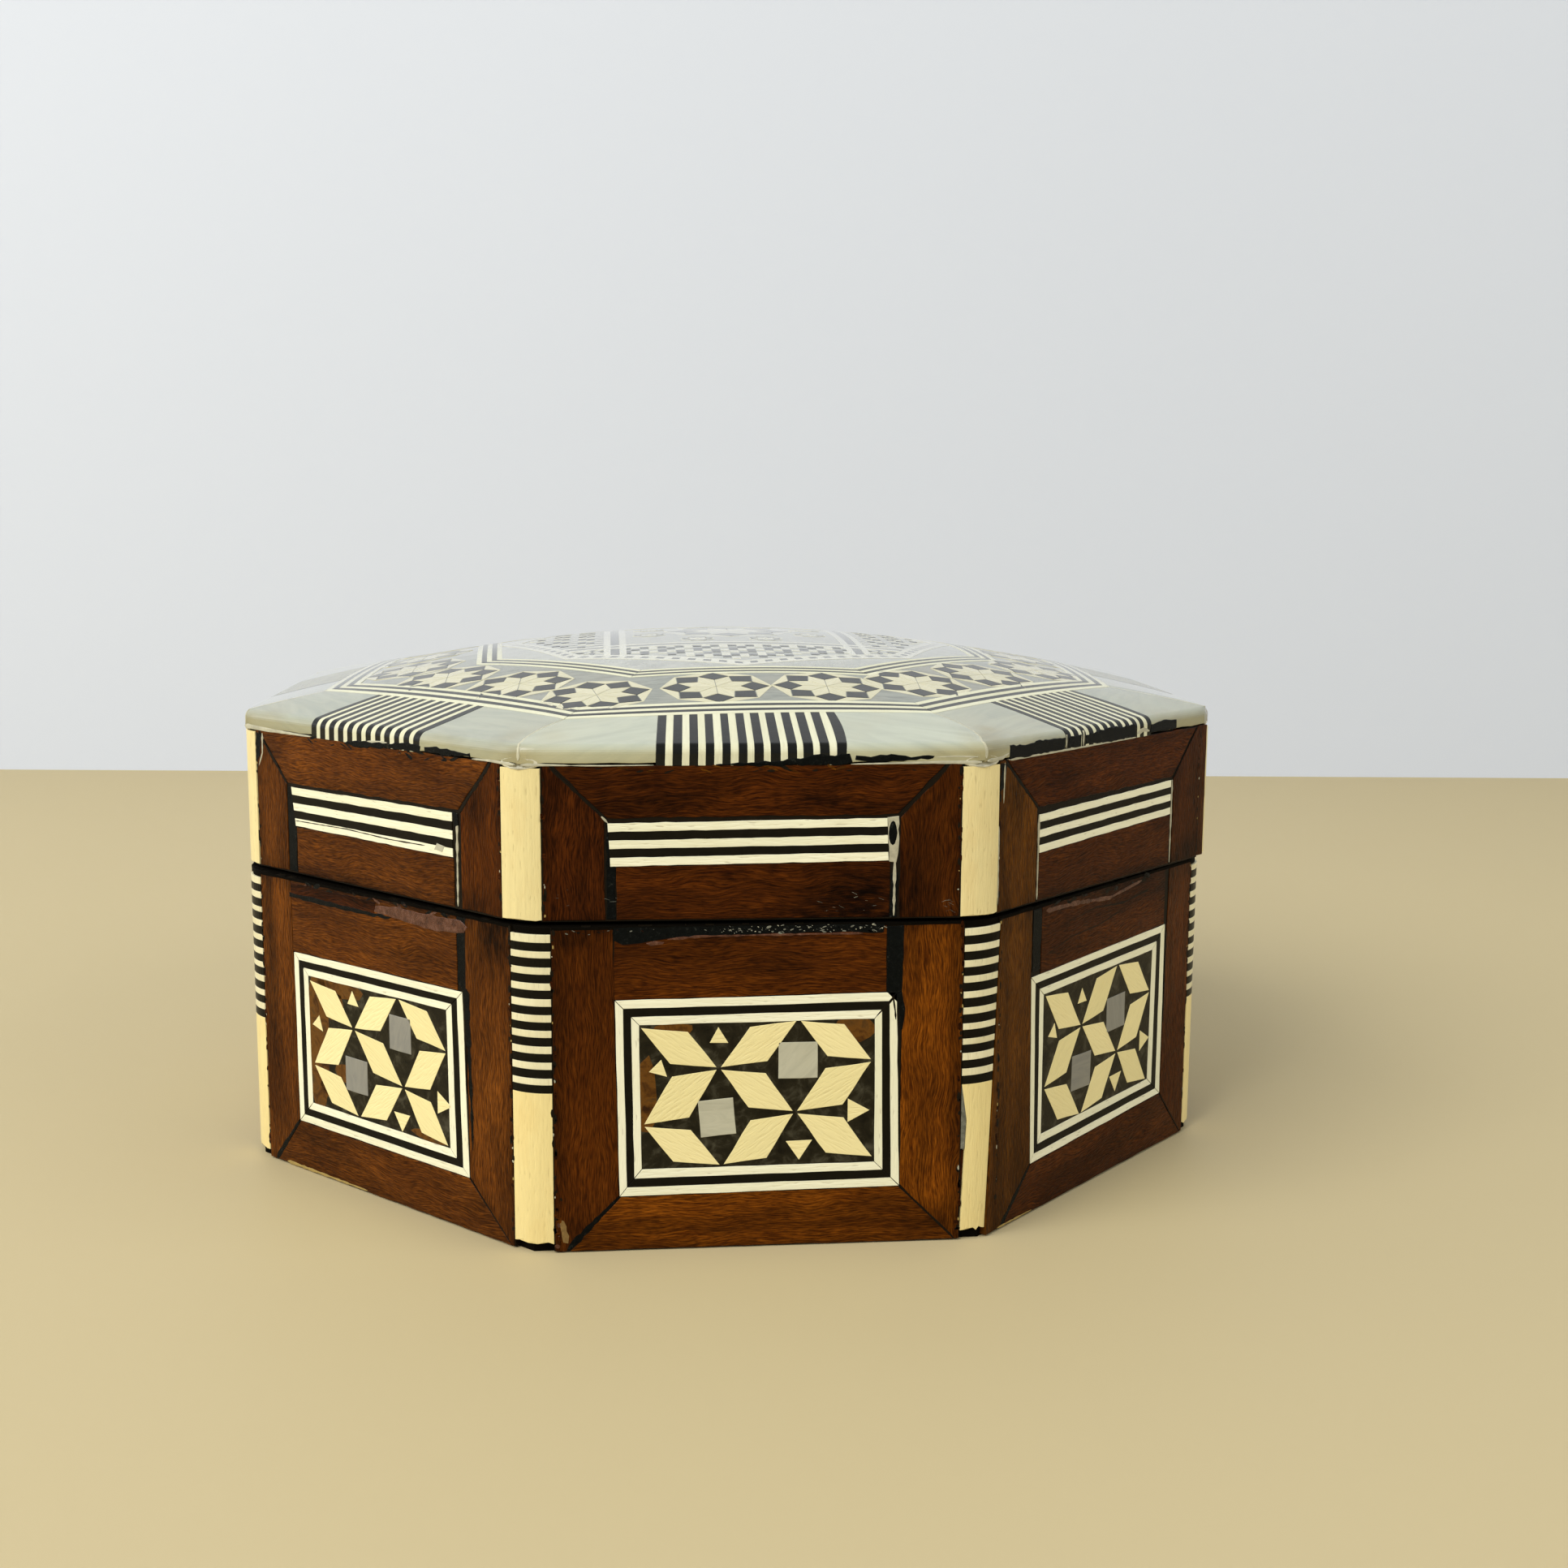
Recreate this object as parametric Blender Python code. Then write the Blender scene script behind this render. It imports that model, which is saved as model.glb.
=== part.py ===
"""Octagonal inlaid box with a domed lid that lifts off, in metres, +Z up.

The origin is on the table, under the middle of the lid. Face 0 is the front and looks along -Y; the
other faces follow anticlockwise, seen from above. Every inlay is a solid of its own, let in flush, with
a small gap to the wood around it.
"""
import math

import bmesh
import bpy
from mathutils import Matrix

# The octagon
SIDES = 8
FACE_NAMES = ("front", "front_right", "right", "back_right", "back", "back_left", "left", "front_left")

# Clearance between pieces that touch, and how far a cutter runs past the surface it opens
GAP = 0.0003
CUTTER_PAST = 0.004

# The base
BASE_WIDTH = 0.150
BASE_HEIGHT = 0.0454
BASE_WALL = 0.0092
FLOOR = 0.006
FOOT_CHAMFER = 0.0006
RIM_CHAMFER = 0.0003

# The lip that stands up inside the lid, and the play the lid has around it
LIP_THICKNESS = 0.0025
LIP_HEIGHT = 0.0035
LID_PLAY = 0.0022

# The lid: its overhang on each side of the base, the wooden side, the shell edge and the dome
LID_OVERHANG = 0.0005
SEAM_GAP = 0.0004
LID_SIDE = 0.0210
LID_DEPTH = 0.0202
SHELL_EDGE = 0.0027
DOME_RISE = 0.0101
DOME_BLEND = 0.030
EDGE_ROUND = 0.0011

# The lid sits a little turned and off centre on the base, as hand-made boxes do
LID_TURN = math.radians(-1.3)
LID_SHIFT_X = 0.0008
LID_SHIFT_Y = 0.0008

# The corner slips: width on each face, thickness, and the wood below the base's slips
STRIP_REACH = 0.0031
STRIP_THICKNESS = 0.0014
STRIP_FOOT = 0.0012
STRIP_ARC_STEPS = 6

# The base's mosaic panels
PANEL_WIDTH = 0.0384
PANEL_HEIGHT = 0.0272
PANEL_FROM_FOOT = 0.0080
INLAY_THICKNESS = 0.0012

# The lid's string bands, measured from the lid's lower edge
BAND_WIDTH = 0.0380
BAND_HEIGHT = 0.0058
BAND_FROM_SEAM = 0.0076

# The inlay of the lid's top: thickness, the striped patches, the shell shoulder and the star ring inside it
TOP_THICKNESS = 0.0015
PATCH_WIDTH = 0.0252
SHOULDER_WIDTH = 0.0135
STAR_RING_WIDTH = 0.0195
EDGE_STEPS = 2
SHOULDER_STEPS = 4
RING_STEPS = 3
CENTRE_STEPS = 4
COLUMNS = 4
PLATE_COLUMNS = 3

# Worked-out sizes
HALF_ANGLE = math.pi / SIDES
BASE_REACH = BASE_WIDTH / 2
BASE_INNER = BASE_REACH - BASE_WALL
LIP_OUTER = BASE_INNER + LIP_THICKNESS
LID_REACH = BASE_REACH + LID_OVERHANG
LID_INNER = LIP_OUTER + LID_PLAY
LID_BOTTOM = BASE_HEIGHT + SEAM_GAP
STAR_RING_REACH = LID_REACH - SHOULDER_WIDTH
CENTRE_REACH = STAR_RING_REACH - STAR_RING_WIDTH
CREASE = LID_SIDE + SHELL_EDGE
CROWN = CREASE + DOME_RISE

# Colours as (red, green, blue), roughness
MAHOGANY = ((0.115, 0.038, 0.014), 0.35)
BONE = ((0.80, 0.68, 0.38), 0.30)
EBONY_MOSAIC = ((0.055, 0.052, 0.042), 0.30)
STRINGING = ((0.72, 0.64, 0.42), 0.30)
PEARL = ((0.70, 0.71, 0.64), 0.18)
STRIPES = ((0.34, 0.31, 0.22), 0.30)
STAR_MOSAIC = ((0.46, 0.44, 0.36), 0.25)
FIELD_MOSAIC = ((0.42, 0.42, 0.37), 0.25)


def clear_scene():
    for item in list(bpy.data.objects):
        bpy.data.objects.remove(item, do_unlink=True)


def make_material(name, colour, roughness):
    material = bpy.data.materials.new(name)
    material.use_nodes = True
    shader = material.node_tree.nodes["Principled BSDF"]
    shader.inputs["Base Color"].default_value = (*colour, 1.0)
    shader.inputs["Roughness"].default_value = roughness
    shader.inputs["Metallic"].default_value = 0.0
    material.diffuse_color = (*colour, 1.0)
    return material


def finish_mesh(name, bm):
    """Turn a bmesh into a mesh with triangles only and its faces pointing out."""
    bmesh.ops.recalc_face_normals(bm, faces=bm.faces)
    bmesh.ops.triangulate(bm, faces=bm.faces, quad_method="SHORT_EDGE", ngon_method="EAR_CLIP")
    mesh = bpy.data.meshes.new(name)
    bm.to_mesh(mesh)
    bm.free()
    return mesh


def add_object(name, mesh, finish, parent, side=0):
    """Place a mesh under its parent, turned from face 0 to the given face."""
    item = bpy.data.objects.new(name, mesh)
    bpy.context.scene.collection.objects.link(item)
    item.parent = parent
    item.rotation_euler = (0.0, 0.0, side * 2 * HALF_ANGLE)
    colour, roughness = finish
    if not mesh.materials:
        mesh.materials.append(None)
    slot = item.material_slots[0]
    slot.link = "OBJECT"
    slot.material = make_material(name, colour, roughness)
    return item


def add_origin(name, location, turn=0.0):
    origin = bpy.data.objects.new(name, None)
    bpy.context.scene.collection.objects.link(origin)
    origin.location = location
    origin.rotation_euler = (0.0, 0.0, turn)
    return origin


def cut(item, cutter_mesh, parent):
    """Cut pockets out of an object with one hidden cutter."""
    cutter = bpy.data.objects.new(item.name + "_pockets", cutter_mesh)
    bpy.context.scene.collection.objects.link(cutter)
    cutter.parent = parent
    cutter.hide_render = True
    cutter.display_type = "WIRE"
    modifier = item.modifiers.new("pockets", "BOOLEAN")
    modifier.operation = "DIFFERENCE"
    modifier.solver = "EXACT"
    modifier.object = cutter


def octagon_ring(reach, columns):
    """Points of an octagon whose faces are `reach` from the axis, `columns` steps along each face."""
    radius = reach / math.cos(HALF_ANGLE)
    points = []
    for side in range(SIDES):
        start = -math.pi / 2 - HALF_ANGLE + side * 2 * HALF_ANGLE
        end = start + 2 * HALF_ANGLE
        for step in range(columns):
            share = step / columns
            x = radius * (math.cos(start) * (1 - share) + math.cos(end) * share)
            y = radius * (math.sin(start) * (1 - share) + math.sin(end) * share)
            points.append((x, y))
    return points


def ring_height(height, x, y):
    return height(x, y) if callable(height) else height


def octagon_loft(rings, columns=1, closed=False):
    """Solid through octagonal rings of (reach, height). A ring of no reach is a point on the axis."""
    bm = bmesh.new()
    loops = []
    for reach, height in rings:
        if reach == 0.0:
            loops.append([bm.verts.new((0.0, 0.0, ring_height(height, 0.0, 0.0)))])
            continue
        ring = octagon_ring(reach, columns)
        loops.append([bm.verts.new((x, y, ring_height(height, x, y))) for x, y in ring])
    pairs = list(zip(loops, loops[1:]))
    if closed:
        pairs.append((loops[-1], loops[0]))
    for lower, upper in pairs:
        count = max(len(lower), len(upper))
        if count == 1:
            continue
        for index in range(count):
            following = (index + 1) % count
            if len(lower) == 1:
                bm.faces.new((lower[0], upper[index], upper[following]))
            elif len(upper) == 1:
                bm.faces.new((lower[index], lower[following], upper[0]))
            else:
                bm.faces.new((lower[index], lower[following], upper[following], upper[index]))
    return bm


def prism(bm, outline, place):
    """Add a closed prism: `place(a, b, end)` turns an outline point into a 3-D point at end 0 or 1."""
    near = [bm.verts.new(place(a, b, 0)) for a, b in outline]
    far = [bm.verts.new(place(a, b, 1)) for a, b in outline]
    bm.faces.new(near)
    bm.faces.new(list(reversed(far)))
    for index in range(len(outline)):
        following = (index + 1) % len(outline)
        bm.faces.new((near[index], far[index], far[following], near[following]))


def face_slab(bm, width, low, high, outside, inside):
    """Box on the front face, between two heights, from y = -outside to y = -inside."""
    half = width / 2
    outline = [(-half, low), (half, low), (half, high), (-half, high)]
    prism(bm, outline, lambda x, z, end: (x, -(inside if end else outside), z))


def repeat_around(bm):
    """Copy what is in the bmesh onto all the sides."""
    seed = list(bm.verts) + list(bm.edges) + list(bm.faces)
    for side in range(1, SIDES):
        copy = bmesh.ops.duplicate(bm, geom=seed)
        verts = [item for item in copy["geom"] if isinstance(item, bmesh.types.BMVert)]
        turn = Matrix.Rotation(side * 2 * HALF_ANGLE, 3, "Z")
        bmesh.ops.rotate(bm, verts=verts, cent=(0.0, 0.0, 0.0), matrix=turn)


def at_corner(across, out):
    """A point at the corner between faces 0 and 1: across the corner, and out from the axis."""
    angle = -math.pi / 2 + HALF_ANGLE
    x = out * math.cos(angle) - across * math.sin(angle)
    y = out * math.sin(angle) + across * math.cos(angle)
    return x, y


def strip_sizes(reach):
    """Half width of a corner slip, and how far its edges and its inner side are from the axis."""
    half = STRIP_REACH * math.cos(HALF_ANGLE)
    edge = reach / math.cos(HALF_ANGLE) - STRIP_REACH * math.sin(HALF_ANGLE)
    return half, edge, edge - STRIP_THICKNESS


def strip_outline(reach):
    """Section of a corner slip, its outside an arc that runs into both faces."""
    half, edge, inner = strip_sizes(reach)
    radius = STRIP_REACH / math.tan(HALF_ANGLE)
    centre = edge - radius * math.cos(HALF_ANGLE)
    outline = [(half, inner), (-half, inner)]
    for step in range(STRIP_ARC_STEPS + 1):
        angle = HALF_ANGLE * (2 * step / STRIP_ARC_STEPS - 1)
        outline.append((radius * math.sin(angle), centre + radius * math.cos(angle)))
    return outline


def strip_mesh(name, reach, low, high):
    bm = bmesh.new()
    prism(bm, strip_outline(reach), lambda a, b, end: (*at_corner(a, b), high if end else low))
    return finish_mesh(name, bm)


def strip_channel(bm, reach, low, high):
    """Cutter for a corner slip's channel."""
    half, _, inner = strip_sizes(reach)
    width = half + GAP
    deep = inner - GAP
    outside = reach / math.cos(HALF_ANGLE) + CUTTER_PAST
    outline = [(-width, deep), (width, deep), (width, outside), (-width, outside)]
    prism(bm, outline, lambda a, b, end: (*at_corner(a, b), high if end else low))


def dome_height(x, y):
    """Height of the lid's outer surface above its lower edge: round in the middle, octagonal outside."""
    reach = 0.0
    for side in range(SIDES):
        angle = -math.pi / 2 + side * 2 * HALF_ANGLE
        reach = max(reach, x * math.cos(angle) + y * math.sin(angle))
    share = (reach - (LID_REACH - DOME_BLEND)) / DOME_BLEND
    share = min(max(share, 0.0), 1.0)
    octagonal = share * share * (3 - 2 * share)
    square = (1 - octagonal) * (x * x + y * y) + octagonal * reach * reach
    return CROWN - DOME_RISE * square / (LID_REACH * LID_REACH)


def dome_under(x, y):
    return dome_height(x, y) - TOP_THICKNESS


def dome_bed(x, y):
    return dome_height(x, y) - TOP_THICKNESS - GAP


def steps_between(start, end, count):
    return [start + (end - start) * step / count for step in range(count + 1)]


def base_carcass(parent):
    rings = [
        (0.0, 0.0),
        (BASE_REACH - FOOT_CHAMFER, 0.0),
        (BASE_REACH, FOOT_CHAMFER),
        (BASE_REACH, BASE_HEIGHT - RIM_CHAMFER),
        (BASE_REACH - RIM_CHAMFER, BASE_HEIGHT),
        (LIP_OUTER, BASE_HEIGHT),
        (LIP_OUTER, BASE_HEIGHT + LIP_HEIGHT),
        (BASE_INNER, BASE_HEIGHT + LIP_HEIGHT),
        (BASE_INNER, FLOOR),
        (0.0, FLOOR),
    ]
    item = add_object("base_carcass", finish_mesh("base_carcass", octagon_loft(rings)), MAHOGANY, parent)
    pockets = bmesh.new()
    panel_top = PANEL_FROM_FOOT + PANEL_HEIGHT
    face_slab(pockets, PANEL_WIDTH + 2 * GAP, PANEL_FROM_FOOT - GAP, panel_top + GAP,
              BASE_REACH + CUTTER_PAST, BASE_REACH - INLAY_THICKNESS - GAP)
    strip_channel(pockets, BASE_REACH, STRIP_FOOT - GAP, BASE_HEIGHT + CUTTER_PAST)
    repeat_around(pockets)
    cut(item, finish_mesh("base_pockets", pockets), parent)


def base_inlays(parent):
    strip = strip_mesh("base_corner_strip", BASE_REACH, STRIP_FOOT, BASE_HEIGHT)
    panel = bmesh.new()
    face_slab(panel, PANEL_WIDTH, PANEL_FROM_FOOT, PANEL_FROM_FOOT + PANEL_HEIGHT,
              BASE_REACH, BASE_REACH - INLAY_THICKNESS)
    panel = finish_mesh("base_panel", panel)
    for side, face in enumerate(FACE_NAMES):
        add_object(f"base_corner_strip_{side + 1}", strip, BONE, parent, side)
        add_object(f"base_panel_{face}", panel, EBONY_MOSAIC, parent, side)


def lid_carcass(parent):
    bed_reach = LID_REACH - TOP_THICKNESS - GAP
    rings = [
        (LID_INNER, 0.0),
        (LID_REACH - RIM_CHAMFER, 0.0),
        (LID_REACH, RIM_CHAMFER),
        (LID_REACH, LID_SIDE),
        (bed_reach, LID_SIDE),
    ]
    rings += [(reach, dome_bed) for reach in steps_between(bed_reach, STAR_RING_REACH, SHOULDER_STEPS)]
    rings += [(reach, dome_bed) for reach in steps_between(STAR_RING_REACH, CENTRE_REACH, RING_STEPS)[1:]]
    rings += [(reach, dome_bed) for reach in steps_between(CENTRE_REACH, 0.0, CENTRE_STEPS)[1:]]
    rings += [(0.0, LID_DEPTH), (LID_INNER, LID_DEPTH)]
    mesh = finish_mesh("lid_carcass", octagon_loft(rings, COLUMNS, closed=True))
    item = add_object("lid_carcass", mesh, MAHOGANY, parent)
    pockets = bmesh.new()
    face_slab(pockets, BAND_WIDTH + 2 * GAP, BAND_FROM_SEAM - GAP, BAND_FROM_SEAM + BAND_HEIGHT + GAP,
              LID_REACH + CUTTER_PAST, LID_REACH - INLAY_THICKNESS - GAP)
    strip_channel(pockets, LID_REACH, -CUTTER_PAST, LID_SIDE + GAP)
    repeat_around(pockets)
    cut(item, finish_mesh("lid_pockets", pockets), parent)


def lid_side_inlays(parent):
    strip = strip_mesh("lid_corner_strip", LID_REACH, 0.0, LID_SIDE)
    band = bmesh.new()
    face_slab(band, BAND_WIDTH, BAND_FROM_SEAM, BAND_FROM_SEAM + BAND_HEIGHT,
              LID_REACH, LID_REACH - INLAY_THICKNESS)
    band = finish_mesh("lid_string_band", band)
    for side, face in enumerate(FACE_NAMES):
        add_object(f"lid_corner_strip_{side + 1}", strip, BONE, parent, side)
        add_object(f"lid_string_band_{face}", band, STRINGING, parent, side)


def shoulder_section():
    """Section of the shoulder's inlay as (reach, height): the outside from the edge up, then the inside."""
    foot = LID_SIDE + GAP
    outside = [(LID_REACH, lambda x, y: foot)]
    for step in range(EDGE_STEPS + 1):
        angle = step * math.pi / 2 / EDGE_STEPS
        reach = LID_REACH - EDGE_ROUND * (1 - math.cos(angle))
        drop = EDGE_ROUND * (1 - math.sin(angle))
        outside.append((reach, lambda x, y, drop=drop: dome_height(x, y) - drop))
    inner_end = STAR_RING_REACH + GAP
    flat = steps_between(LID_REACH - EDGE_ROUND, inner_end, SHOULDER_STEPS)[1:]
    outside += [(reach, dome_height) for reach in flat]
    inside = [(reach, dome_under) for reach in reversed(flat)]
    inside.append((LID_REACH - TOP_THICKNESS, dome_under))
    inside.append((LID_REACH - TOP_THICKNESS, lambda x, y: foot))
    return outside + inside


def shoulder_mesh(name, start, end, columns):
    """Shoulder inlay on the front face, between two limits that may depend on the distance from the axis."""
    bm = bmesh.new()
    sections = []
    for step in range(columns + 1):
        share = step / columns
        section = []
        for reach, height in shoulder_section():
            x = start(reach) * (1 - share) + end(reach) * share
            section.append(bm.verts.new((x, -reach, height(x, -reach))))
        sections.append(section)
    bm.faces.new(sections[0])
    bm.faces.new(list(reversed(sections[-1])))
    for left, right in zip(sections, sections[1:]):
        for index in range(len(left)):
            following = (index + 1) % len(left)
            bm.faces.new((left[index], right[index], right[following], left[following]))
    return finish_mesh(name, bm)


def mitre(reach):
    """Half width of a face's shoulder inlay at a distance from the axis, clear of its neighbour."""
    return reach * math.tan(HALF_ANGLE) - GAP / 2 / math.cos(HALF_ANGLE)


def lid_shoulder(parent):
    patch_half = PATCH_WIDTH / 2
    plate_end = patch_half + GAP
    left = shoulder_mesh("lid_shell_left", lambda reach: -mitre(reach), lambda reach: -plate_end,
                         PLATE_COLUMNS)
    right = shoulder_mesh("lid_shell_right", lambda reach: plate_end, mitre, PLATE_COLUMNS)
    patch = shoulder_mesh("lid_striped_patch", lambda reach: -patch_half, lambda reach: patch_half, COLUMNS)
    for side, face in enumerate(FACE_NAMES):
        add_object(f"lid_shell_left_{face}", left, PEARL, parent, side)
        add_object(f"lid_shell_right_{face}", right, PEARL, parent, side)
        add_object(f"lid_striped_patch_{face}", patch, STRIPES, parent, side)


def lid_mosaic(parent):
    """The ring of rosettes, and the middle field inside it."""
    outer = steps_between(STAR_RING_REACH, CENTRE_REACH + GAP, RING_STEPS)
    rings = [(reach, dome_height) for reach in outer] + [(reach, dome_under) for reach in reversed(outer)]
    ring = finish_mesh("lid_star_ring", octagon_loft(rings, COLUMNS, closed=True))
    add_object("lid_star_ring", ring, STAR_MOSAIC, parent)
    inner = steps_between(0.0, CENTRE_REACH, CENTRE_STEPS)
    rings = [(reach, dome_height) for reach in inner] + [(reach, dome_under) for reach in reversed(inner)]
    centre = finish_mesh("lid_centre_panel", octagon_loft(rings, COLUMNS))
    add_object("lid_centre_panel", centre, FIELD_MOSAIC, parent)


def build():
    clear_scene()
    base = add_origin("base_origin", (-LID_SHIFT_X, -LID_SHIFT_Y, 0.0))
    lid = add_origin("lid_origin", (0.0, 0.0, LID_BOTTOM), LID_TURN)
    base_carcass(base)
    base_inlays(base)
    lid_carcass(lid)
    lid_side_inlays(lid)
    lid_shoulder(lid)
    lid_mosaic(lid)
    bpy.context.view_layer.update()


build()
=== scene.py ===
"""Looks of the octagonal inlaid box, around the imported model.

Sizes are in millimetres. Each inlay is cut as single tiles and strings, with the small faults of hand work.
"""
import math
import random

import bmesh
import bpy
from mathutils import Matrix, Vector


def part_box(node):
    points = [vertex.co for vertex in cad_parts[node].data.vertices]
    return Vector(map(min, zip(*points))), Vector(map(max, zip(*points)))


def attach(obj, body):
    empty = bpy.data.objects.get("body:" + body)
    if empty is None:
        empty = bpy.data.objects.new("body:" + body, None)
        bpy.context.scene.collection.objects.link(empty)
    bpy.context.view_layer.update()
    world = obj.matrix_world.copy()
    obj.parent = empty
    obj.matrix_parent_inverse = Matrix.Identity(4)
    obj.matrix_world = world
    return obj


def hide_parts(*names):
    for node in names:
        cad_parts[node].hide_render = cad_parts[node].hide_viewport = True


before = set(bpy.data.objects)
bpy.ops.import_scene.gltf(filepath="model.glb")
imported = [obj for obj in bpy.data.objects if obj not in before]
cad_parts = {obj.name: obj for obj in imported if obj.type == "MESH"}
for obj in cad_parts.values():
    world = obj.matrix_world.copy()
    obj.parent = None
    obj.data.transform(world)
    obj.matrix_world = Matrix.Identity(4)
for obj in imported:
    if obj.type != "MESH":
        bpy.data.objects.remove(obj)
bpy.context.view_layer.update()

MM = 0.001
FACE_NAMES = ("front", "front_right", "right", "back_right", "back", "back_left", "left", "front_left")
SIDES = len(FACE_NAMES)
STEP = 2 * math.pi / SIDES
HALF = STEP / 2
FRONT = -math.pi / 2


def node_box(name):
    low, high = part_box(name)
    return low / MM, high / MM


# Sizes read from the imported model
BASE_LOW, BASE_HIGH = node_box("base_carcass")
BASE_X = (BASE_LOW.x + BASE_HIGH.x) / 2
BASE_Y = (BASE_LOW.y + BASE_HIGH.y) / 2
BASE_REACH = (BASE_HIGH.x - BASE_LOW.x) / 2
LIP_TOP = BASE_HIGH.z
SLIP_FOOT = node_box("base_corner_strip_1")[0].z
BASE_TOP = node_box("base_corner_strip_1")[1].z
LID_FOOT = node_box("lid_carcass")[0].z
LID_SIDE_TOP = node_box("lid_corner_strip_1")[1].z
CROWN = node_box("lid_centre_panel")[1].z

# Sizes that repeat those of the model
LID_TURN = math.radians(-1.3)
LID_REACH = 75.5
BASE_INNER = 65.8
FLOOR = 6.0
LIP_OUTER = 68.3
LID_INNER = 70.5
LID_HOLLOW = 20.2
SHELL_FOOT = LID_SIDE_TOP + 0.3
DOME_RISE = 10.1
DOME_BLEND = 30.0
EDGE_ROUND = 1.1
SLIP_REACH = 3.1
SLIP_THICKNESS = 1.4
RING_REACH = 62.0
CENTRE_REACH = 42.5

# How the veneer sits on the body: its thickness, the dark bed under it and the joint at each slip
VENEER = 1.0
BED = 0.10
BASE_HALF = BASE_REACH * math.tan(HALF) - SLIP_REACH - 0.2
LID_HALF = LID_REACH * math.tan(HALF) - SLIP_REACH - 0.25
RECESS = 0.05
# How far the veneer stops short of the seam, and how far the painted shadow under the lid's edge reaches down
# from it on veneer and slips
SEAM_SHADOW = 0.28
BASE_PAINTED_SHADOW = 0.5
SLIP_PAINTED_SHADOW = 1.05
VENEER_FOOT = 0.25
VENEER_TOP = BASE_TOP - SEAM_SHADOW


# Places: functions from a plan in millimetres, with a depth below the surface, to a point in metres

def face_place(side, reach, centre_x, centre_y, turn):
    angle = side * STEP + turn
    cos, sin = math.cos(angle), math.sin(angle)

    def place(x, z, deep=0.0):
        y = deep - reach
        return Vector((cos * x - sin * y + centre_x, sin * x + cos * y + centre_y, z)) * MM
    return place


def base_face(side):
    return face_place(side, BASE_REACH, BASE_X, BASE_Y, 0.0)


def lid_face(side):
    return face_place(side, LID_REACH - RECESS, 0.0, 0.0, LID_TURN)


def octagon_reach(x, y):
    """How far out a point is, square to the side it faces."""
    return max(x * math.cos(FRONT + k * STEP) + y * math.sin(FRONT + k * STEP) for k in range(SIDES))


def dome_height(x, y):
    """The height of the dome, which is round in the middle and eight-sided at its edge."""
    reach = octagon_reach(x, y)
    share = min(max((reach - (LID_REACH - DOME_BLEND)) / DOME_BLEND, 0.0), 1.0)
    octagonal = share * share * (3 - 2 * share)
    square = (1 - octagonal) * (x * x + y * y) + octagonal * reach * reach
    return CROWN - DOME_RISE * square / LID_REACH ** 2


def lid_point(x, y, z):
    """A point of the lid, which sits turned on the base."""
    cos, sin = math.cos(LID_TURN), math.sin(LID_TURN)
    return Vector((cos * x - sin * y, sin * x + cos * y, z)) * MM


def lid_top(x, y, deep=0.0):
    """A point on the dome, or below it."""
    return lid_point(x, y, dome_height(x, y) - deep)


ROUND_STEPS = 6
EDGE_LENGTH = dome_height(0.0, -LID_REACH) - EDGE_ROUND - SHELL_FOOT
ARC_LENGTH = EDGE_ROUND * math.pi / 2
TOP_START = EDGE_LENGTH + ARC_LENGTH
SHOULDER_LENGTH = TOP_START + (LID_REACH - EDGE_ROUND - RING_REACH)


def shoulder_point(along):
    """Reach, height and outward direction on the lid's shoulder, from its foot up and in."""
    if along <= EDGE_LENGTH:
        return LID_REACH, SHELL_FOOT + along, 1.0, 0.0
    along -= EDGE_LENGTH
    if along <= ARC_LENGTH:
        angle = along / EDGE_ROUND
        reach = LID_REACH - EDGE_ROUND * (1 - math.cos(angle))
        height = dome_height(0.0, -reach) - EDGE_ROUND * (1 - math.sin(angle))
        return reach, height, math.cos(angle), math.sin(angle)
    reach = LID_REACH - EDGE_ROUND - (along - ARC_LENGTH)
    return reach, dome_height(0.0, -reach), 0.0, 1.0


CORNER_ROUND = 2.6
CORNER_WEAR = 0.35
WORN_CORNER = 2
WORN_MORE = 1.1


def corner_wear(side, x, reach):
    """How far the worn corner of the lid lies inside the sharp one."""
    corner = (side + (x > 0)) % SIDES
    share = 1 - (reach * math.tan(HALF) - abs(x)) / CORNER_ROUND
    return (WORN_MORE if corner == WORN_CORNER else CORNER_WEAR) * max(0.0, share) ** 2


def shoulder_place(side):
    def place(x, along, deep=0.0):
        reach, height, out, up = shoulder_point(along)
        if along > TOP_START:
            height = dome_height(x, -reach)
        reach -= (deep + corner_wear(side, x, reach)) * out
        height -= deep * up
        angle = side * STEP
        cos, sin = math.cos(angle), math.sin(angle)
        return lid_point(cos * x + sin * reach, sin * x - cos * reach, height)
    return place


def corner_place(corner):
    """Round the lid's corner: across it, height and depth."""
    angle = FRONT - HALF + corner * STEP
    cos, sin = math.cos(angle), math.sin(angle)

    def place(across, z, deep=0.0):
        deepest = WORN_MORE if corner == WORN_CORNER else CORNER_WEAR
        worn = deepest * max(0.0, 1 - abs(across) / CORNER_ROUND) ** 2
        out = LID_REACH / math.cos(HALF) - abs(across) * math.tan(HALF) - worn - deep - RECESS
        return lid_point(out * cos - across * sin, out * sin + across * cos, z)
    return place


# Materials

def new_material(name):
    material = bpy.data.materials.new(name)
    material.use_nodes = True
    return material, material.node_tree


def node(tree, kind, inputs=None, **settings):
    made = tree.nodes.new("ShaderNode" + kind)
    for key, value in settings.items():
        setattr(made, key, value)
    for key, value in (inputs or {}).items():
        socket = made.inputs[key]
        if isinstance(value, bpy.types.NodeSocket):
            tree.links.new(value, socket)
        else:
            socket.default_value = value
    return made


def ramp(tree, value, stops):
    made = node(tree, "ValToRGB", {"Fac": value})
    elements = made.color_ramp.elements
    while len(elements) < len(stops):
        elements.new(0.5)
    for element, (place, colour) in zip(elements, stops):
        element.position = place
        element.color = (*colour, 1.0)
    return made.outputs["Color"]


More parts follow.
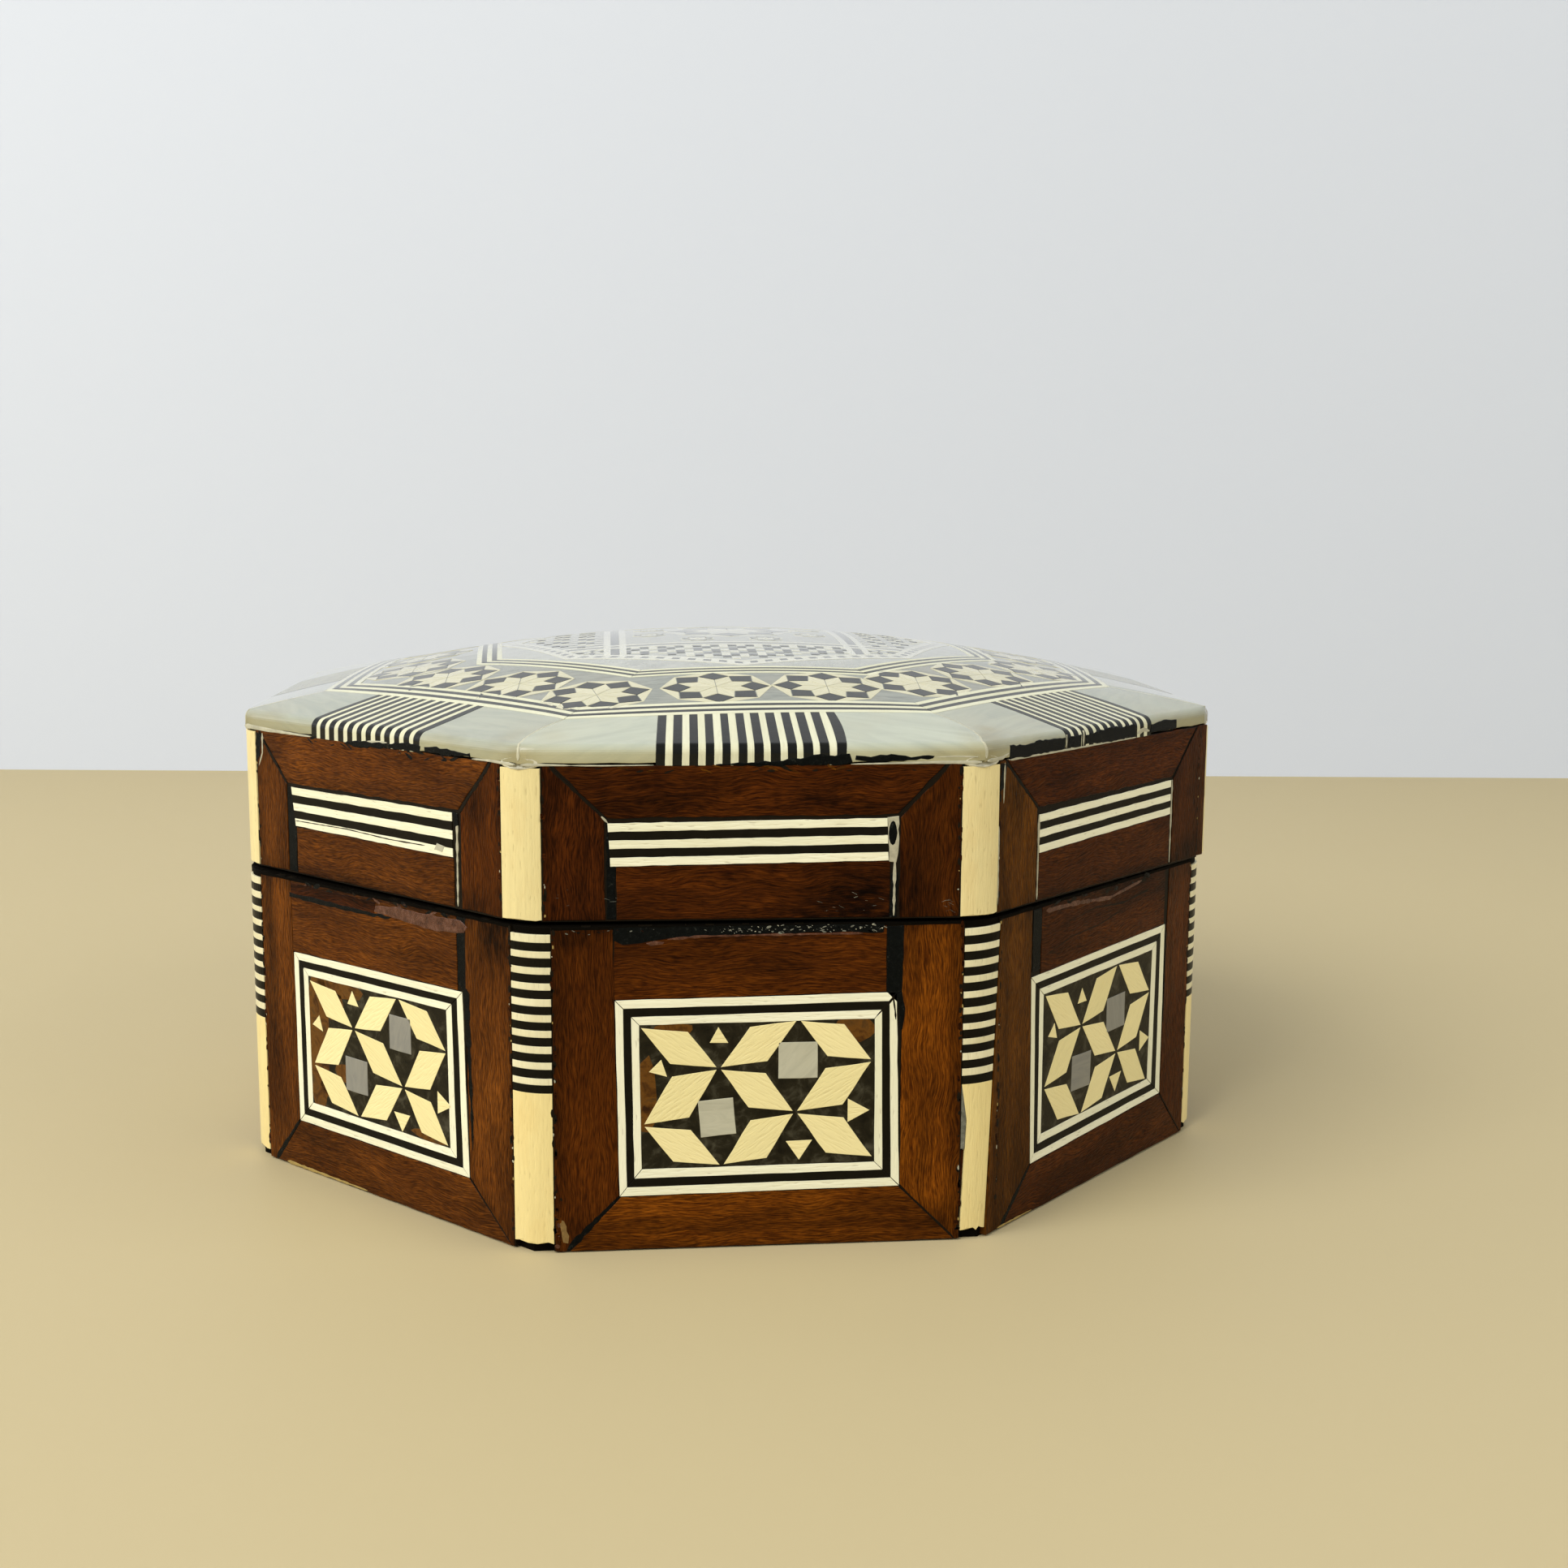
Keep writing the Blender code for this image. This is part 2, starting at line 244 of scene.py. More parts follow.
def mix(tree, share, first, second, blend="MIX"):
    made = node(tree, "Mix", data_type="RGBA", blend_type=blend)
    for key, value in ((0, share), (6, first), (7, second)):
        socket = made.inputs[key]
        if isinstance(value, bpy.types.NodeSocket):
            tree.links.new(value, socket)
        elif key == 0:
            socket.default_value = value
        else:
            socket.default_value = (*value, 1.0)
    return made.outputs[2]


def tinted(tree, base, colour):
    """A colour multiplied by another."""
    return mix(tree, 1.0, base, colour, "MULTIPLY")


def times(colour, by):
    """A colour made lighter or darker."""
    return tuple(min(1.0, by * part) for part in colour)


def product(tree, first, second):
    return node(tree, "Math", {0: first, 1: second}, operation="MULTIPLY").outputs[0]


def added(tree, first, second):
    return node(tree, "VectorMath", {0: first, 1: second}, operation="ADD").outputs["Vector"]


def combined(tree, **parts):
    return node(tree, "CombineXYZ", parts).outputs["Vector"]


def scaled(tree, vector, scale):
    return node(tree, "Mapping", {"Vector": vector, "Scale": scale}).outputs["Vector"]


def noise_value(tree, vector, scale, detail=4.0, rough=0.55, distortion=0.0):
    made = node(tree, "TexNoise", {"Vector": vector, "Scale": scale, "Detail": detail, "Roughness": rough,
                                   "Distortion": distortion})
    return made.outputs["Fac"]


def between(tree, value, low, high, to_low=0.0, to_high=1.0):
    made = node(tree, "MapRange", {"Value": value, "From Min": low, "From Max": high, "To Min": to_low,
                                   "To Max": to_high})
    return made.outputs["Result"]


def bump(tree, height, distance, strength=1.0):
    made = node(tree, "Bump", {"Height": height, "Distance": distance * MM, "Strength": strength})
    return made.outputs["Normal"]


def flat_gloss(tree, weight):
    """Clear varnish that shows mostly where it is seen at a flat angle."""
    facing = node(tree, "LayerWeight", {"Blend": 0.5}).outputs["Facing"]
    return between(tree, facing, 0.79, 0.93, 0.12 * weight, weight)


def finish_shader(tree, colour, roughness, normal=None, specular=0.3, coat=0.0, coat_roughness=0.1):
    shader = tree.nodes["Principled BSDF"]
    for key, value in (("Base Color", colour), ("Roughness", roughness), ("Normal", normal),
                       ("Specular IOR Level", specular), ("Coat Weight", coat),
                       ("Coat Roughness", coat_roughness)):
        if value is None:
            continue
        if isinstance(value, bpy.types.NodeSocket):
            tree.links.new(value, shader.inputs[key])
        else:
            shader.inputs[key].default_value = value
    if normal is not None and isinstance(coat, bpy.types.NodeSocket):
        tree.links.new(normal, shader.inputs["Coat Normal"])


def grain_vector(tree):
    """Millimetres along and across the grain, from the mesh."""
    return node(tree, "UVMap", uv_map="grain").outputs["UV"]


def millimetres(tree):
    """The place in the room, in millimetres."""
    return scaled(tree, node(tree, "NewGeometry").outputs["Position"], (1 / MM,) * 3)


def attribute(tree, name):
    return node(tree, "Attribute", attribute_name=name).outputs["Fac"]


def dirtied_and_shaded(tree, base, grain):
    """Darken where the mesh's spots say: dirt, dark figure of the wood, and painted shade along the seam
    under the lid.
    """
    blur = noise_value(tree, scaled(tree, grain, (0.35, 0.9, 1.0)), 1.0, 2.0)
    uneven = product(tree, attribute(tree, "shade"), between(tree, blur, 0.3, 0.7, 0.55, 1.35))
    return mix(tree, between(tree, uneven, 0.0, 1.0), base, tinted(tree, base, (0.10, 0.10, 0.12)))


def wood(name, dark, light, pores=0.6, figure=0.5, roughness=0.34, coat=0.0):
    """Mahogany under old varnish: fibres and pores along the grain, broad figure, uneven gloss."""
    material, tree = new_material(name)
    grain = grain_vector(tree)
    wander = noise_value(tree, scaled(tree, grain, (0.09, 0.18, 1.0)), 1.0, 1.0)
    offset = added(tree, grain, combined(tree, Y=between(tree, wander, 0.0, 1.0, -1.6, 1.6)))
    fibre = noise_value(tree, scaled(tree, offset, (0.18, 3.0, 1.0)), 1.0, 5.0, 0.75)
    fleck = noise_value(tree, scaled(tree, offset, (0.55, 6.5, 1.0)), 1.0, 1.0, 0.6)
    broad = noise_value(tree, scaled(tree, offset, (0.035, 0.26, 1.0)), 1.0, 2.0, 0.5, 0.8)
    pore = noise_value(tree, scaled(tree, offset, (0.75, 5.2, 1.0)), 1.0, 1.0, 0.4)
    cloud = noise_value(tree, scaled(tree, grain, (0.06, 0.09, 1.0)), 1.0, 1.0)
    base = ramp(tree, fibre, [(0.34, dark), (0.66, light)])
    base = tinted(tree, base, ramp(tree, fleck, [(0.36, (0.48, 0.45, 0.43)), (0.60, (1.16, 1.15, 1.12))]))
    base = tinted(tree, base, ramp(tree, broad, [(0.32, (1 - figure,) * 3), (0.62, (1.0, 1.0, 1.0))]))
    base = tinted(tree, base, ramp(tree, cloud, [(0.3, (0.72, 0.68, 0.66)), (0.7, (1.15, 1.12, 1.05))]))
    tone = ramp(tree, attribute(tree, "tone"), [(0.0, (0.82, 0.80, 0.78)), (1.0, (1.16, 1.14, 1.1))])
    base = tinted(tree, base, tone)
    marks = between(tree, pore, 0.60, 0.70)
    base = mix(tree, product(tree, marks, pores), base, times(dark, 0.35))
    # Darken by the mesh's spots: dirt, and painted shade at the seam.
    base = dirtied_and_shaded(tree, base, grain)
    gloss = between(tree, cloud, 0.2, 0.8, roughness + 0.10, roughness - 0.08)
    finish_shader(tree, base, gloss, bump(tree, between(tree, pore, 0.40, 0.70, 0.0, -1.0), 0.03), 0.045,
                  coat, 0.16)
    return material


def bone(name, colour, stain, grain_scale=(0.10, 1.6, 1.0), stain_share=0.5, specular=0.12, pits=0.5,
         rough=0.34, coat=0.06, streak=0.07, varnished=False):
    """Bone or pale wood slip, with faint fibres, small pits and ochre stains."""
    material, tree = new_material(name)
    grain = grain_vector(tree)
    fibre = noise_value(tree, scaled(tree, grain, grain_scale), 1.0, 3.0, 0.6)
    cloud = noise_value(tree, scaled(tree, grain, (0.13, 0.3, 1.0)), 1.0, 2.0)
    pit = noise_value(tree, scaled(tree, grain, (0.5, 3.0, 1.0)), 1.0, 1.0, 0.5)
    low, high = 1 - streak, 1 + streak * 0.6
    base = ramp(tree, fibre, [(0.25, times(colour, low)), (0.75, times(colour, high))])
    base = mix(tree, between(tree, cloud, 0.50, 0.78, 0.0, stain_share), base, stain)
    tone = ramp(tree, attribute(tree, "tone"), [(0.0, (0.96, 0.96, 0.9216)), (1.0, (1.04, 1.04, 1.04))])
    base = tinted(tree, base, tone)
    base = mix(tree, product(tree, between(tree, pit, 0.66, 0.74), pits), base, (0.16, 0.08, 0.02))
    finish_shader(tree, base, between(tree, cloud, 0.2, 0.8, rough + 0.05, rough - 0.06),
                  bump(tree, between(tree, pit, 0.45, 0.74, 0.0, -1.0), 0.03), specular,
                  flat_gloss(tree, coat) if varnished else coat, 0.1)
    return material


def mottled(name, stops, scale=0.45, rough=0.35, relief=0.02, specular=0.25, coat=0.15):
    """Cloudy filler or horn: patches of several tones."""
    material, tree = new_material(name)
    shift = scaled(tree, combined(tree, X=attribute(tree, "tone")), (37.0, 1.0, 1.0))
    place = added(tree, millimetres(tree), shift)
    cloud = noise_value(tree, place, scale, 4.0, 0.6, 0.6)
    fine = noise_value(tree, place, scale * 7, 1.0, 0.6)
    base = ramp(tree, cloud, stops)
    finish_shader(tree, base, rough, bump(tree, fine, relief), specular, coat, 0.12)
    return material


def shell(name, colour, deep_colour, warm, band=0.16, rough=0.2, specular=0.45, coat=0.6, edge=None,
          varnished=False):
    """Mother-of-pearl: soft bands, a slight play of colour and a clear coat."""
    material, tree = new_material(name)
    grain = grain_vector(tree)
    shift = between(tree, attribute(tree, "tone"), 0.0, 1.0, 0.0, 90.0)
    moved = added(tree, grain, combined(tree, X=shift, Y=shift))
    bands = noise_value(tree, scaled(tree, moved, (0.35 * band, 1.7 * band, 1.0)), 1.0, 3.0, 0.55, 1.4)
    cloud = noise_value(tree, moved, 0.07, 2.0)
    fine = noise_value(tree, scaled(tree, moved, (0.5, 4.0, 1.0)), 1.0, 1.0)
    base = ramp(tree, bands, [(0.30, deep_colour), (0.55, colour), (0.80, times(colour, 1.10))])
    base = mix(tree, between(tree, cloud, 0.46, 0.72, 0.0, 0.4), base, warm)
    tone = ramp(tree, attribute(tree, "tone"), [(0.0, (0.93, 0.94, 0.95)), (1.0, (1.04, 1.03, 1.0))])
    base = tinted(tree, base, tone)
    base = mix(tree, attribute(tree, "shade"), base, tinted(tree, base, (0.74, 0.62, 0.40)))
    if edge:
        facing = node(tree, "NewGeometry").outputs["Normal"]
        upright = node(tree, "SeparateXYZ", {"Vector": facing}).outputs["Z"]
        base = mix(tree, between(tree, upright, 0.75, 0.1), base, tinted(tree, base, edge))
    finish_shader(tree, base, rough, bump(tree, fine, 0.012), specular,
                  flat_gloss(tree, coat) if varnished else coat, 0.06)
    return material


def plain_finish(name, colour, rough, specular=0.3, relief=0.02, scale=1.2, coat=0.0, varnished=False):
    """Glue, glaze, dirt and the seam's painted shadow: one tone with a little unevenness."""
    material, tree = new_material(name)
    cloud = noise_value(tree, millimetres(tree), scale, 2.0)
    base = ramp(tree, cloud, [(0.3, times(colour, 0.82)), (0.7, times(colour, 1.12))])
    finish_shader(tree, base, rough, bump(tree, cloud, relief), specular,
                  flat_gloss(tree, coat) if varnished else coat, 0.1)
    return material


def make_finishes():
    return {
        "wood": wood("mahogany_veneer", (0.036, 0.0072, 0.0008), (0.147, 0.039, 0.0035)),
        "wood_rail": wood("mahogany_veneer_rail", (0.047, 0.0097, 0.0009), (0.184, 0.052, 0.0040)),
        "wood_bright": wood("mahogany_veneer_bright", (0.088, 0.0200, 0.0011), (0.304, 0.092, 0.0054)),
        "wood_plain": wood("mahogany_veneer_still", (0.050, 0.0112, 0.0010), (0.116, 0.0325, 0.0028), 0.3,
                           0.3),
        "wood_dark": wood("mahogany_veneer_dark", (0.026, 0.0056, 0.0009), (0.100, 0.025, 0.0028), 0.7, 0.5),
        "wood_warm": wood("mahogany_veneer_warm", (0.074, 0.0215, 0.0012), (0.170, 0.064, 0.0056), 0.3, 0.4),
        "wood_amber": wood("mahogany_veneer_amber", (0.068, 0.0180, 0.0018), (0.200, 0.064, 0.0076), 0.5,
                           0.4),
        "wood_cool": wood("mahogany_veneer_cool", (0.041, 0.0096, 0.0012), (0.120, 0.0345, 0.0046), 0.5, 0.4),
        "wood_inside": wood("mahogany_inside", (0.10, 0.042, 0.016), (0.19, 0.092, 0.040), 0.4, 0.3, 0.6,
                            0.0),
        "wood_worn": plain_finish("worn_edge", (0.36, 0.25, 0.075), 0.5, 0.15, 0.05, 1.2),
        "bone": bone("bone_slip", (0.80, 0.67, 0.33), (0.70, 0.52, 0.22), pits=0.28),
        "bone_low": bone("bone_slip_bright", (0.85, 0.69, 0.31), (0.78, 0.58, 0.23), pits=0.18),
        "bone_stripe": bone("bone_stripe", (0.78, 0.71, 0.45), (0.62, 0.52, 0.27), pits=0.2),
        "string": bone("pale_string", (0.87, 0.84, 0.61), (0.76, 0.68, 0.42), (0.05, 2.2, 1.0), 0.3,
                       pits=0.3),
        "tile": bone("pale_tile", (0.87, 0.75, 0.375), (0.82, 0.68, 0.32), (0.15, 1.2, 1.0), 0.3, pits=0.06,
                     streak=0.03),
        "string_top": bone("pale_string_top", (0.69, 0.67, 0.47), (0.60, 0.54, 0.33), (0.05, 2.2, 1.0), 0.3,
                           pits=0.1, coat=1.0, varnished=True),
        "tile_top": bone("pale_tile_top", (0.615, 0.57, 0.37), (0.53, 0.47, 0.28), (0.15, 1.2, 1.0), 0.4, 0.4,
                         0.1, 0.2, coat=1.0, streak=0.04, varnished=True),
        # The middle field's pale tile, ebony and ground are greyer and lighter than the same inlay elsewhere:
        # part painted reflection over the field, with the full coat giving the real gloss.
        "tile_field": bone("pale_tile_painted_sheen", (0.66, 0.64, 0.51), (0.58, 0.55, 0.42), (0.15, 1.2, 1.0), 0.4,
                           0.4, 0.1, 0.2, coat=1.0, streak=0.04),
        "black_field": plain_finish("ebony_painted_sheen", (0.030, 0.031, 0.028), 0.2, 0.25, 0.015, 0.8, 1.0),
        "ground_field": plain_finish("ground_painted_sheen", (0.37, 0.37, 0.305), 0.25, 0.3, 0.015, 0.4, 1.0),
        "black": plain_finish("ebony", (0.0065, 0.0052, 0.0026), 0.34, 0.08, 0.015, 0.8),
        "black_edge": plain_finish("ebony_round", (0.0065, 0.0066, 0.0050), 0.22, 0.15, 0.015, 0.8, 0.55,
                                   True),
        "black_top": plain_finish("ebony_top", (0.010, 0.011, 0.009), 0.2, 0.2, 0.015, 0.8, 0.6, True),
        "ground": mottled("smoky_ground", [(0.30, (0.005, 0.0038, 0.0014)), (0.52, (0.016, 0.0128, 0.0058)),
                                           (0.72, (0.062, 0.055, 0.034))], 0.45, 0.35, 0.02, 0.1, 0.05),
        "ground_brown": mottled("brown_ground", [(0.30, (0.030, 0.0090, 0.0010)),
                                                 (0.5, (0.130, 0.050, 0.006)), (0.8, (0.030, 0.020, 0.008))],
                                0.45, 0.35, 0.02, 0.1, 0.05),
        # Near-black for the seam: painted shadow where the lid's edge shades the base's top, its slips and
        # its ledge.
        "seam": plain_finish("seam_painted_shadow", (0.0030, 0.0022, 0.0012), 0.7, 0.03, 0.02),
        "bare": plain_finish("bare_wood", (0.21, 0.125, 0.040), 0.5, 0.1, 0.05, 2.0),
        "bed": plain_finish("dark_joint", (0.0085, 0.0056, 0.0024), 0.5, 0.08, 0.03),
        "filler": mottled("dark_filler", [(0.3, (0.0016, 0.0020, 0.0017)), (0.62, (0.0038, 0.0046, 0.0040)),
                                          (0.82, (0.040, 0.042, 0.034))], 1.7, 0.3, 0.06, 0.05, 0.0),
        "filler_grey": mottled("grey_filler", [(0.3, (0.10, 0.10, 0.075)), (0.7, (0.22, 0.215, 0.165))], 0.9,
                               0.4, 0.05, 0.1, 0.05),
        "glue": plain_finish("pale_glue", (0.42, 0.39, 0.27), 0.4, 0.2, 0.03, 1.6),
        "glaze": plain_finish("yellowed_glue", (0.48, 0.455, 0.325), 0.35, 0.25, 0.03, 0.9, 0.1),
        "smear": plain_finish("corner_glue", (0.60, 0.57, 0.43), 0.3, 0.25, 0.03, 0.9, 0.1),
        "repair": mottled("brown_repair", [(0.3, (0.034, 0.010, 0.0040)), (0.55, (0.110, 0.042, 0.021)),
                                           (0.8, (0.190, 0.095, 0.062))], 0.9, 0.35, 0.12, 0.12, 0.15),
        "joint": plain_finish("shoulder_joint", (0.52, 0.49, 0.34), 0.35, 0.25, 0.03, 1.1),
        "grey_shell": shell("grey_shell", (0.51, 0.485, 0.355), (0.43, 0.41, 0.30), (0.54, 0.50, 0.35), 0.4,
                            0.3, 0.15, 0.1),
        # A darker copy of grey_shell for the squares on the two angled faces: painted shade.
        "dim_shell": shell("dim_shell", (0.255, 0.245, 0.205), (0.205, 0.20, 0.18), (0.28, 0.26, 0.20), 0.4,
                           0.3, 0.15, 0.1),
        "ground_shell": shell("ground_shell", (0.258, 0.268, 0.222), (0.17, 0.18, 0.148), (0.32, 0.29, 0.205),
                              0.6, 0.22, 0.3, 1.0, varnished=True),
        "pearl": shell("pearl_plate", (0.46, 0.475, 0.365), (0.395, 0.415, 0.325), (0.505, 0.47, 0.32),
                       coat=1.0, edge=(0.98, 0.92, 0.76), varnished=True),
        # A darker copy of pearl for every plate but the front's: painted shade on the sides turned from the
        # light.
        "pearl_side": shell("pearl_plate_shaded", (0.365, 0.375, 0.285), (0.31, 0.325, 0.255),
                            (0.40, 0.37, 0.25), coat=1.0, edge=(0.98, 0.92, 0.76), varnished=True),
    }


FINISHES = make_finishes()


# Building pieces out of tiles

def inset(outline, amount):
    """Move each point of an outline inwards by about the amount."""
    area = sum(x0 * y1 - x1 * y0 for (x0, y0), (x1, y1) in zip(outline, outline[1:] + outline[:1]))
    side = 1.0 if area > 0 else -1.0
    count = len(outline)
    moved = []
    for index, (x, y) in enumerate(outline):
        before = Vector(outline[index - 1])
        after = Vector(outline[(index + 1) % count])
        here = Vector((x, y))
        first = (here - before).normalized()
        second = (after - here).normalized()
        inward = Vector((-(first.y + second.y), first.x + second.x)) * side
        if inward.length < 1e-6:
            moved.append((x, y))
            continue
        inward.normalize()
        across = max(0.45, abs(inward.x * -second.y + inward.y * second.x))
        moved.append((x + inward.x * amount / across, y + inward.y * amount / across))
    return moved


def hand_cut(outline, rng, amount=0.05, step=1.6):
    """Break the edges of an outline into short lengths that wander a little, as a saw does."""
    made = []
    for (x0, y0), (x1, y1) in zip(outline, outline[1:] + outline[:1]):
        length = math.hypot(x1 - x0, y1 - y0)
        count = max(1, int(length / step))
        made.append((x0 + rng.uniform(-amount, amount) * 0.5, y0 + rng.uniform(-amount, amount) * 0.5))
        for index in range(1, count):
            share = (index + rng.uniform(-0.2, 0.2)) / count
            off = rng.uniform(-amount, amount)
            made.append((x0 + (x1 - x0) * share - (y1 - y0) / length * off,
                         y0 + (y1 - y0) * share + (x1 - x0) / length * off))
    return made


# The section of a bead of glue: the share of its half width and of its height, with None for its buried foot
BEAD_SECTION = ((-1.0, None), (-0.95, 0.1), (-0.6, 0.8), (0.0, 1.0), (0.6, 0.8), (0.95, 0.1), (1.0, None))
BEAD_DEEP = 0.4


class Piece:
    """One piece of the object: tiles with several finishes, in one mesh."""

    def __init__(self, name, slot, *nodes):
        self.name = name
        self.slot = slot
        self.nodes = nodes
        self.bm = bmesh.new()
        self.grain = self.bm.loops.layers.uv.new("grain")
        self.tone = self.bm.faces.layers.float.new("tone")
        self.shade = self.bm.loops.layers.float.new("shade")
        self.dirt_and_shade = None
        self.finishes = []
        self.rng = random.Random(name)

    def add_face(self, corners, finish, turn, shift, tone):
        """Corners are (vertex, a, b), with a and b the place in the plan that the grain follows."""
        face = self.bm.faces.new([corner[0] for corner in corners])
        if finish not in self.finishes:
            self.finishes.append(finish)
        face.material_index = self.finishes.index(finish)
        face[self.tone] = tone
        cos, sin = math.cos(turn), math.sin(turn)
        for loop, (_, a, b) in zip(face.loops, corners):
            loop[self.grain].uv = (a * cos + b * sin + shift, b * cos - a * sin + shift * 0.37)
            # Darkening per corner from the piece's spots: dirt and stains, and painted shade at the seam.
            loop[self.shade] = self.dirt_and_shade(a, b) if self.dirt_and_shade else 0.0

    def corners(self, plan, place, depth):
        return [(self.bm.verts.new(place(a, b, depth)), a, b) for a, b in plan]

    def join(self, ring, other, *look):
        """Faces between two rings with as many corners."""
        for index in range(len(ring)):
            after = (index + 1) % len(ring)
            self.add_face([ring[index], ring[after], other[after], other[index]], *look)

    def close(self, rings, *look):
        """A closed skin through rings, with a face over the last and under the first."""
        self.add_face(rings[-1], *look)
        self.add_face(rings[0][::-1], *look)
        for lower, upper in zip(rings, rings[1:]):
            self.join(lower, upper, *look)

    def tile(self, outline, place, finish, rise=0.0, deep=0.6, turn=0.0, edge=0.06, tone=None):
        """A closed prism with its edge taken off. Rise is how far its face stands above the surface."""
        tone = self.rng.random() if tone is None else tone
        shift = self.rng.uniform(0.0, 400.0)
        rings = [(outline, deep), (outline, edge * 0.7 - rise), (inset(outline, edge), -rise)]
        self.close([self.corners(ring, place, depth) for ring, depth in rings], finish, turn, shift, tone)

    def sheet(self, rows, place, finish, rise=0.0, deep=0.6, turn=0.0, edge=0.06, tone=None):
        """A closed sheet through rows of (a, b) points, so that it follows a curved surface."""
        tone = self.rng.random() if tone is None else tone
        shift = self.rng.uniform(0.0, 400.0)
        outline = border_of(rows)
        inner = dict(zip(outline, inset(outline, edge)))
        top = [[inner.get(point, point) for point in row] for row in rows]
        upper = [self.corners(row, place, -rise) for row in top]
        lower = [self.corners(row, place, deep) for row in rows]
        for grid, flip in ((upper, False), (lower, True)):
            for first, second in zip(grid, grid[1:]):
                for index in range(len(first) - 1):
                    corners = [first[index], first[index + 1], second[index + 1], second[index]]
                    self.add_face(corners[::-1] if flip else corners, finish, turn, shift, tone)
        middle = self.corners(outline, place, edge * 0.7 - rise)
        self.join(border_of(lower), middle, finish, turn, shift, tone)
        self.join(middle, border_of(upper), finish, turn, shift, tone)

    def bead(self, path, place, finish, widths=(0.4, 0.4), height=0.06, wobble=0.35):
        """A lumpy line of glue or filler along a path, round on top and closed at its ends."""
        tone = self.rng.random()
        rings = []
        last = len(path) - 1
        for index, (a, b) in enumerate(path):
            (a0, b0), (a1, b1) = path[max(index - 1, 0)], path[min(index + 1, last)]
            run = math.hypot(a1 - a0, b1 - b0)
            across = (-(b1 - b0) / run, (a1 - a0) / run)
            end = 0.3 if index in (0, last) else 1.0
            (width,) = lerp(widths[:1], widths[1:], index / last)
            half = end * self.rng.uniform(1 - wobble, 1 + wobble) * width / 2
            ring = []
            for share, up in BEAD_SECTION:
                at = (a + across[0] * half * share, b + across[1] * half * share)
                depth = BEAD_DEEP if up is None else -height * (up * end if height > 0 else 1.0)
                ring.append((self.bm.verts.new(place(*at, depth)), *at))
            rings.append(ring)
        self.close(rings, finish, 0.0, 0.0, tone)

    def done(self):
        bmesh.ops.recalc_face_normals(self.bm, faces=self.bm.faces)
        mesh = bpy.data.meshes.new(self.name)
        self.bm.to_mesh(mesh)
        self.bm.free()
        for finish in self.finishes:
            mesh.materials.append(FINISHES[finish])
        item = bpy.data.objects.new(self.name, mesh)
        bpy.context.scene.collection.objects.link(item)
        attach(item, "root")
        if self.nodes:
            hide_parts(*self.nodes)


def border_of(rows):
    """The points round a grid, in order."""
    ring = list(rows[0])
    ring += [row[-1] for row in rows[1:]]
    ring += list(rows[-1][:-1])[::-1]
    ring += [row[0] for row in rows[1:-1]][::-1]
    return ring


def walk(points, step=0.7):
    """A path through some points, in short steps."""
    path = [points[0]]
    for first, second in zip(points, points[1:]):
        count = max(1, round(math.dist(first, second) / step))
        path += [lerp(first, second, (k + 1) / count) for k in range(count)]
    return path


def cut_patch(piece, place, outline, finish, rise, wander, step, edge):
    """A thin hand-cut tile of filler, wood or bone."""
    piece.tile(hand_cut(outline, piece.rng, wander, step), place, finish, rise, 0.5, 0.0, edge)


def glue_line(piece, place, points, finish, widths, height, wobble=0.35):
    """A bead of glue or filler through some points."""
    piece.bead(walk(points), place, finish, widths, height, wobble)


def soft_spots(spots):
    """Darkening as soft spots, each (x, z, half width, half height, strength): dirt and stains, with painted
    shade along the seam on the veneers.
    """
    def dirt_and_shade(a, b):
        return min(1.0, sum(strength * math.exp(-((a - x) / wide) ** 2 - ((b - z) / high) ** 2)
                            for x, z, wide, high, strength in spots))
    return dirt_and_shade


def veneer(piece, place, rungs, finish, turn=0.0, cut=0.06, step=2.2, edge=0.06):
    """A sheet of veneer over rungs, each a pair of (x, z) ends, from its foot to its top."""
    ends = []
    for (left, right), (next_left, next_right) in zip(rungs, rungs[1:]):
        count = max(1, round(max(math.dist(left, next_left), math.dist(right, next_right)) / step))
        ends += [(lerp(left, next_left, k / count), lerp(right, next_right, k / count)) for k in range(count)]
    ends.append(rungs[-1])
    columns = max(2, round(max(math.dist(left, right) for left, right in ends) / step))
    rows = []
    for index, (left, right) in enumerate(ends):
        row = [lerp(left, right, k / columns) for k in range(columns + 1)]
        for column, (x, z) in enumerate(row):
            if index in (0, len(ends) - 1) or column in (0, columns):
                row[column] = (x + piece.rng.uniform(-cut, cut), z + piece.rng.uniform(-cut, cut))
        rows.append(row)
    piece.sheet(rows, place, finish, 0.0, VENEER, turn, edge)


def scuffs(piece, place, low, high, count, finishes, size=(0.25, 1.1), flat=(0.2, 0.5), rise=0.012):
    """Small chips and marks strewn over a rectangle."""
    rng = piece.rng
    for _ in range(count):
        x, z = rng.uniform(low[0], high[0]), rng.uniform(low[1], high[1])
        wide = rng.uniform(*size) / 2
        tall = wide * rng.uniform(*flat)
        slant = rng.uniform(-0.5, 0.35)
        outline = [(x + wide * math.cos(k * math.tau / 8) * rng.uniform(0.7, 1.1),
                    z + slant * wide * math.cos(k * math.tau / 8)
                    + tall * math.sin(k * math.tau / 8) * rng.uniform(0.7, 1.1)) for k in range(8)]
        piece.tile(outline, place, rng.choice(finishes), rise, 0.3, 0.0, 0.01)


def lerp(first, second, share):
    return tuple(a + (b - a) * share for a, b in zip(first, second))


def band_rows(start_a, end_a, start_b, end_b, count):
    """Two rows of points, for a string between the line start_a to end_a and the line start_b to end_b."""
    return [[lerp(start_a, end_a, k / count) for k in range(count + 1)],
            [lerp(start_b, end_b, k / count) for k in range(count + 1)]]


# The bodies under the veneer

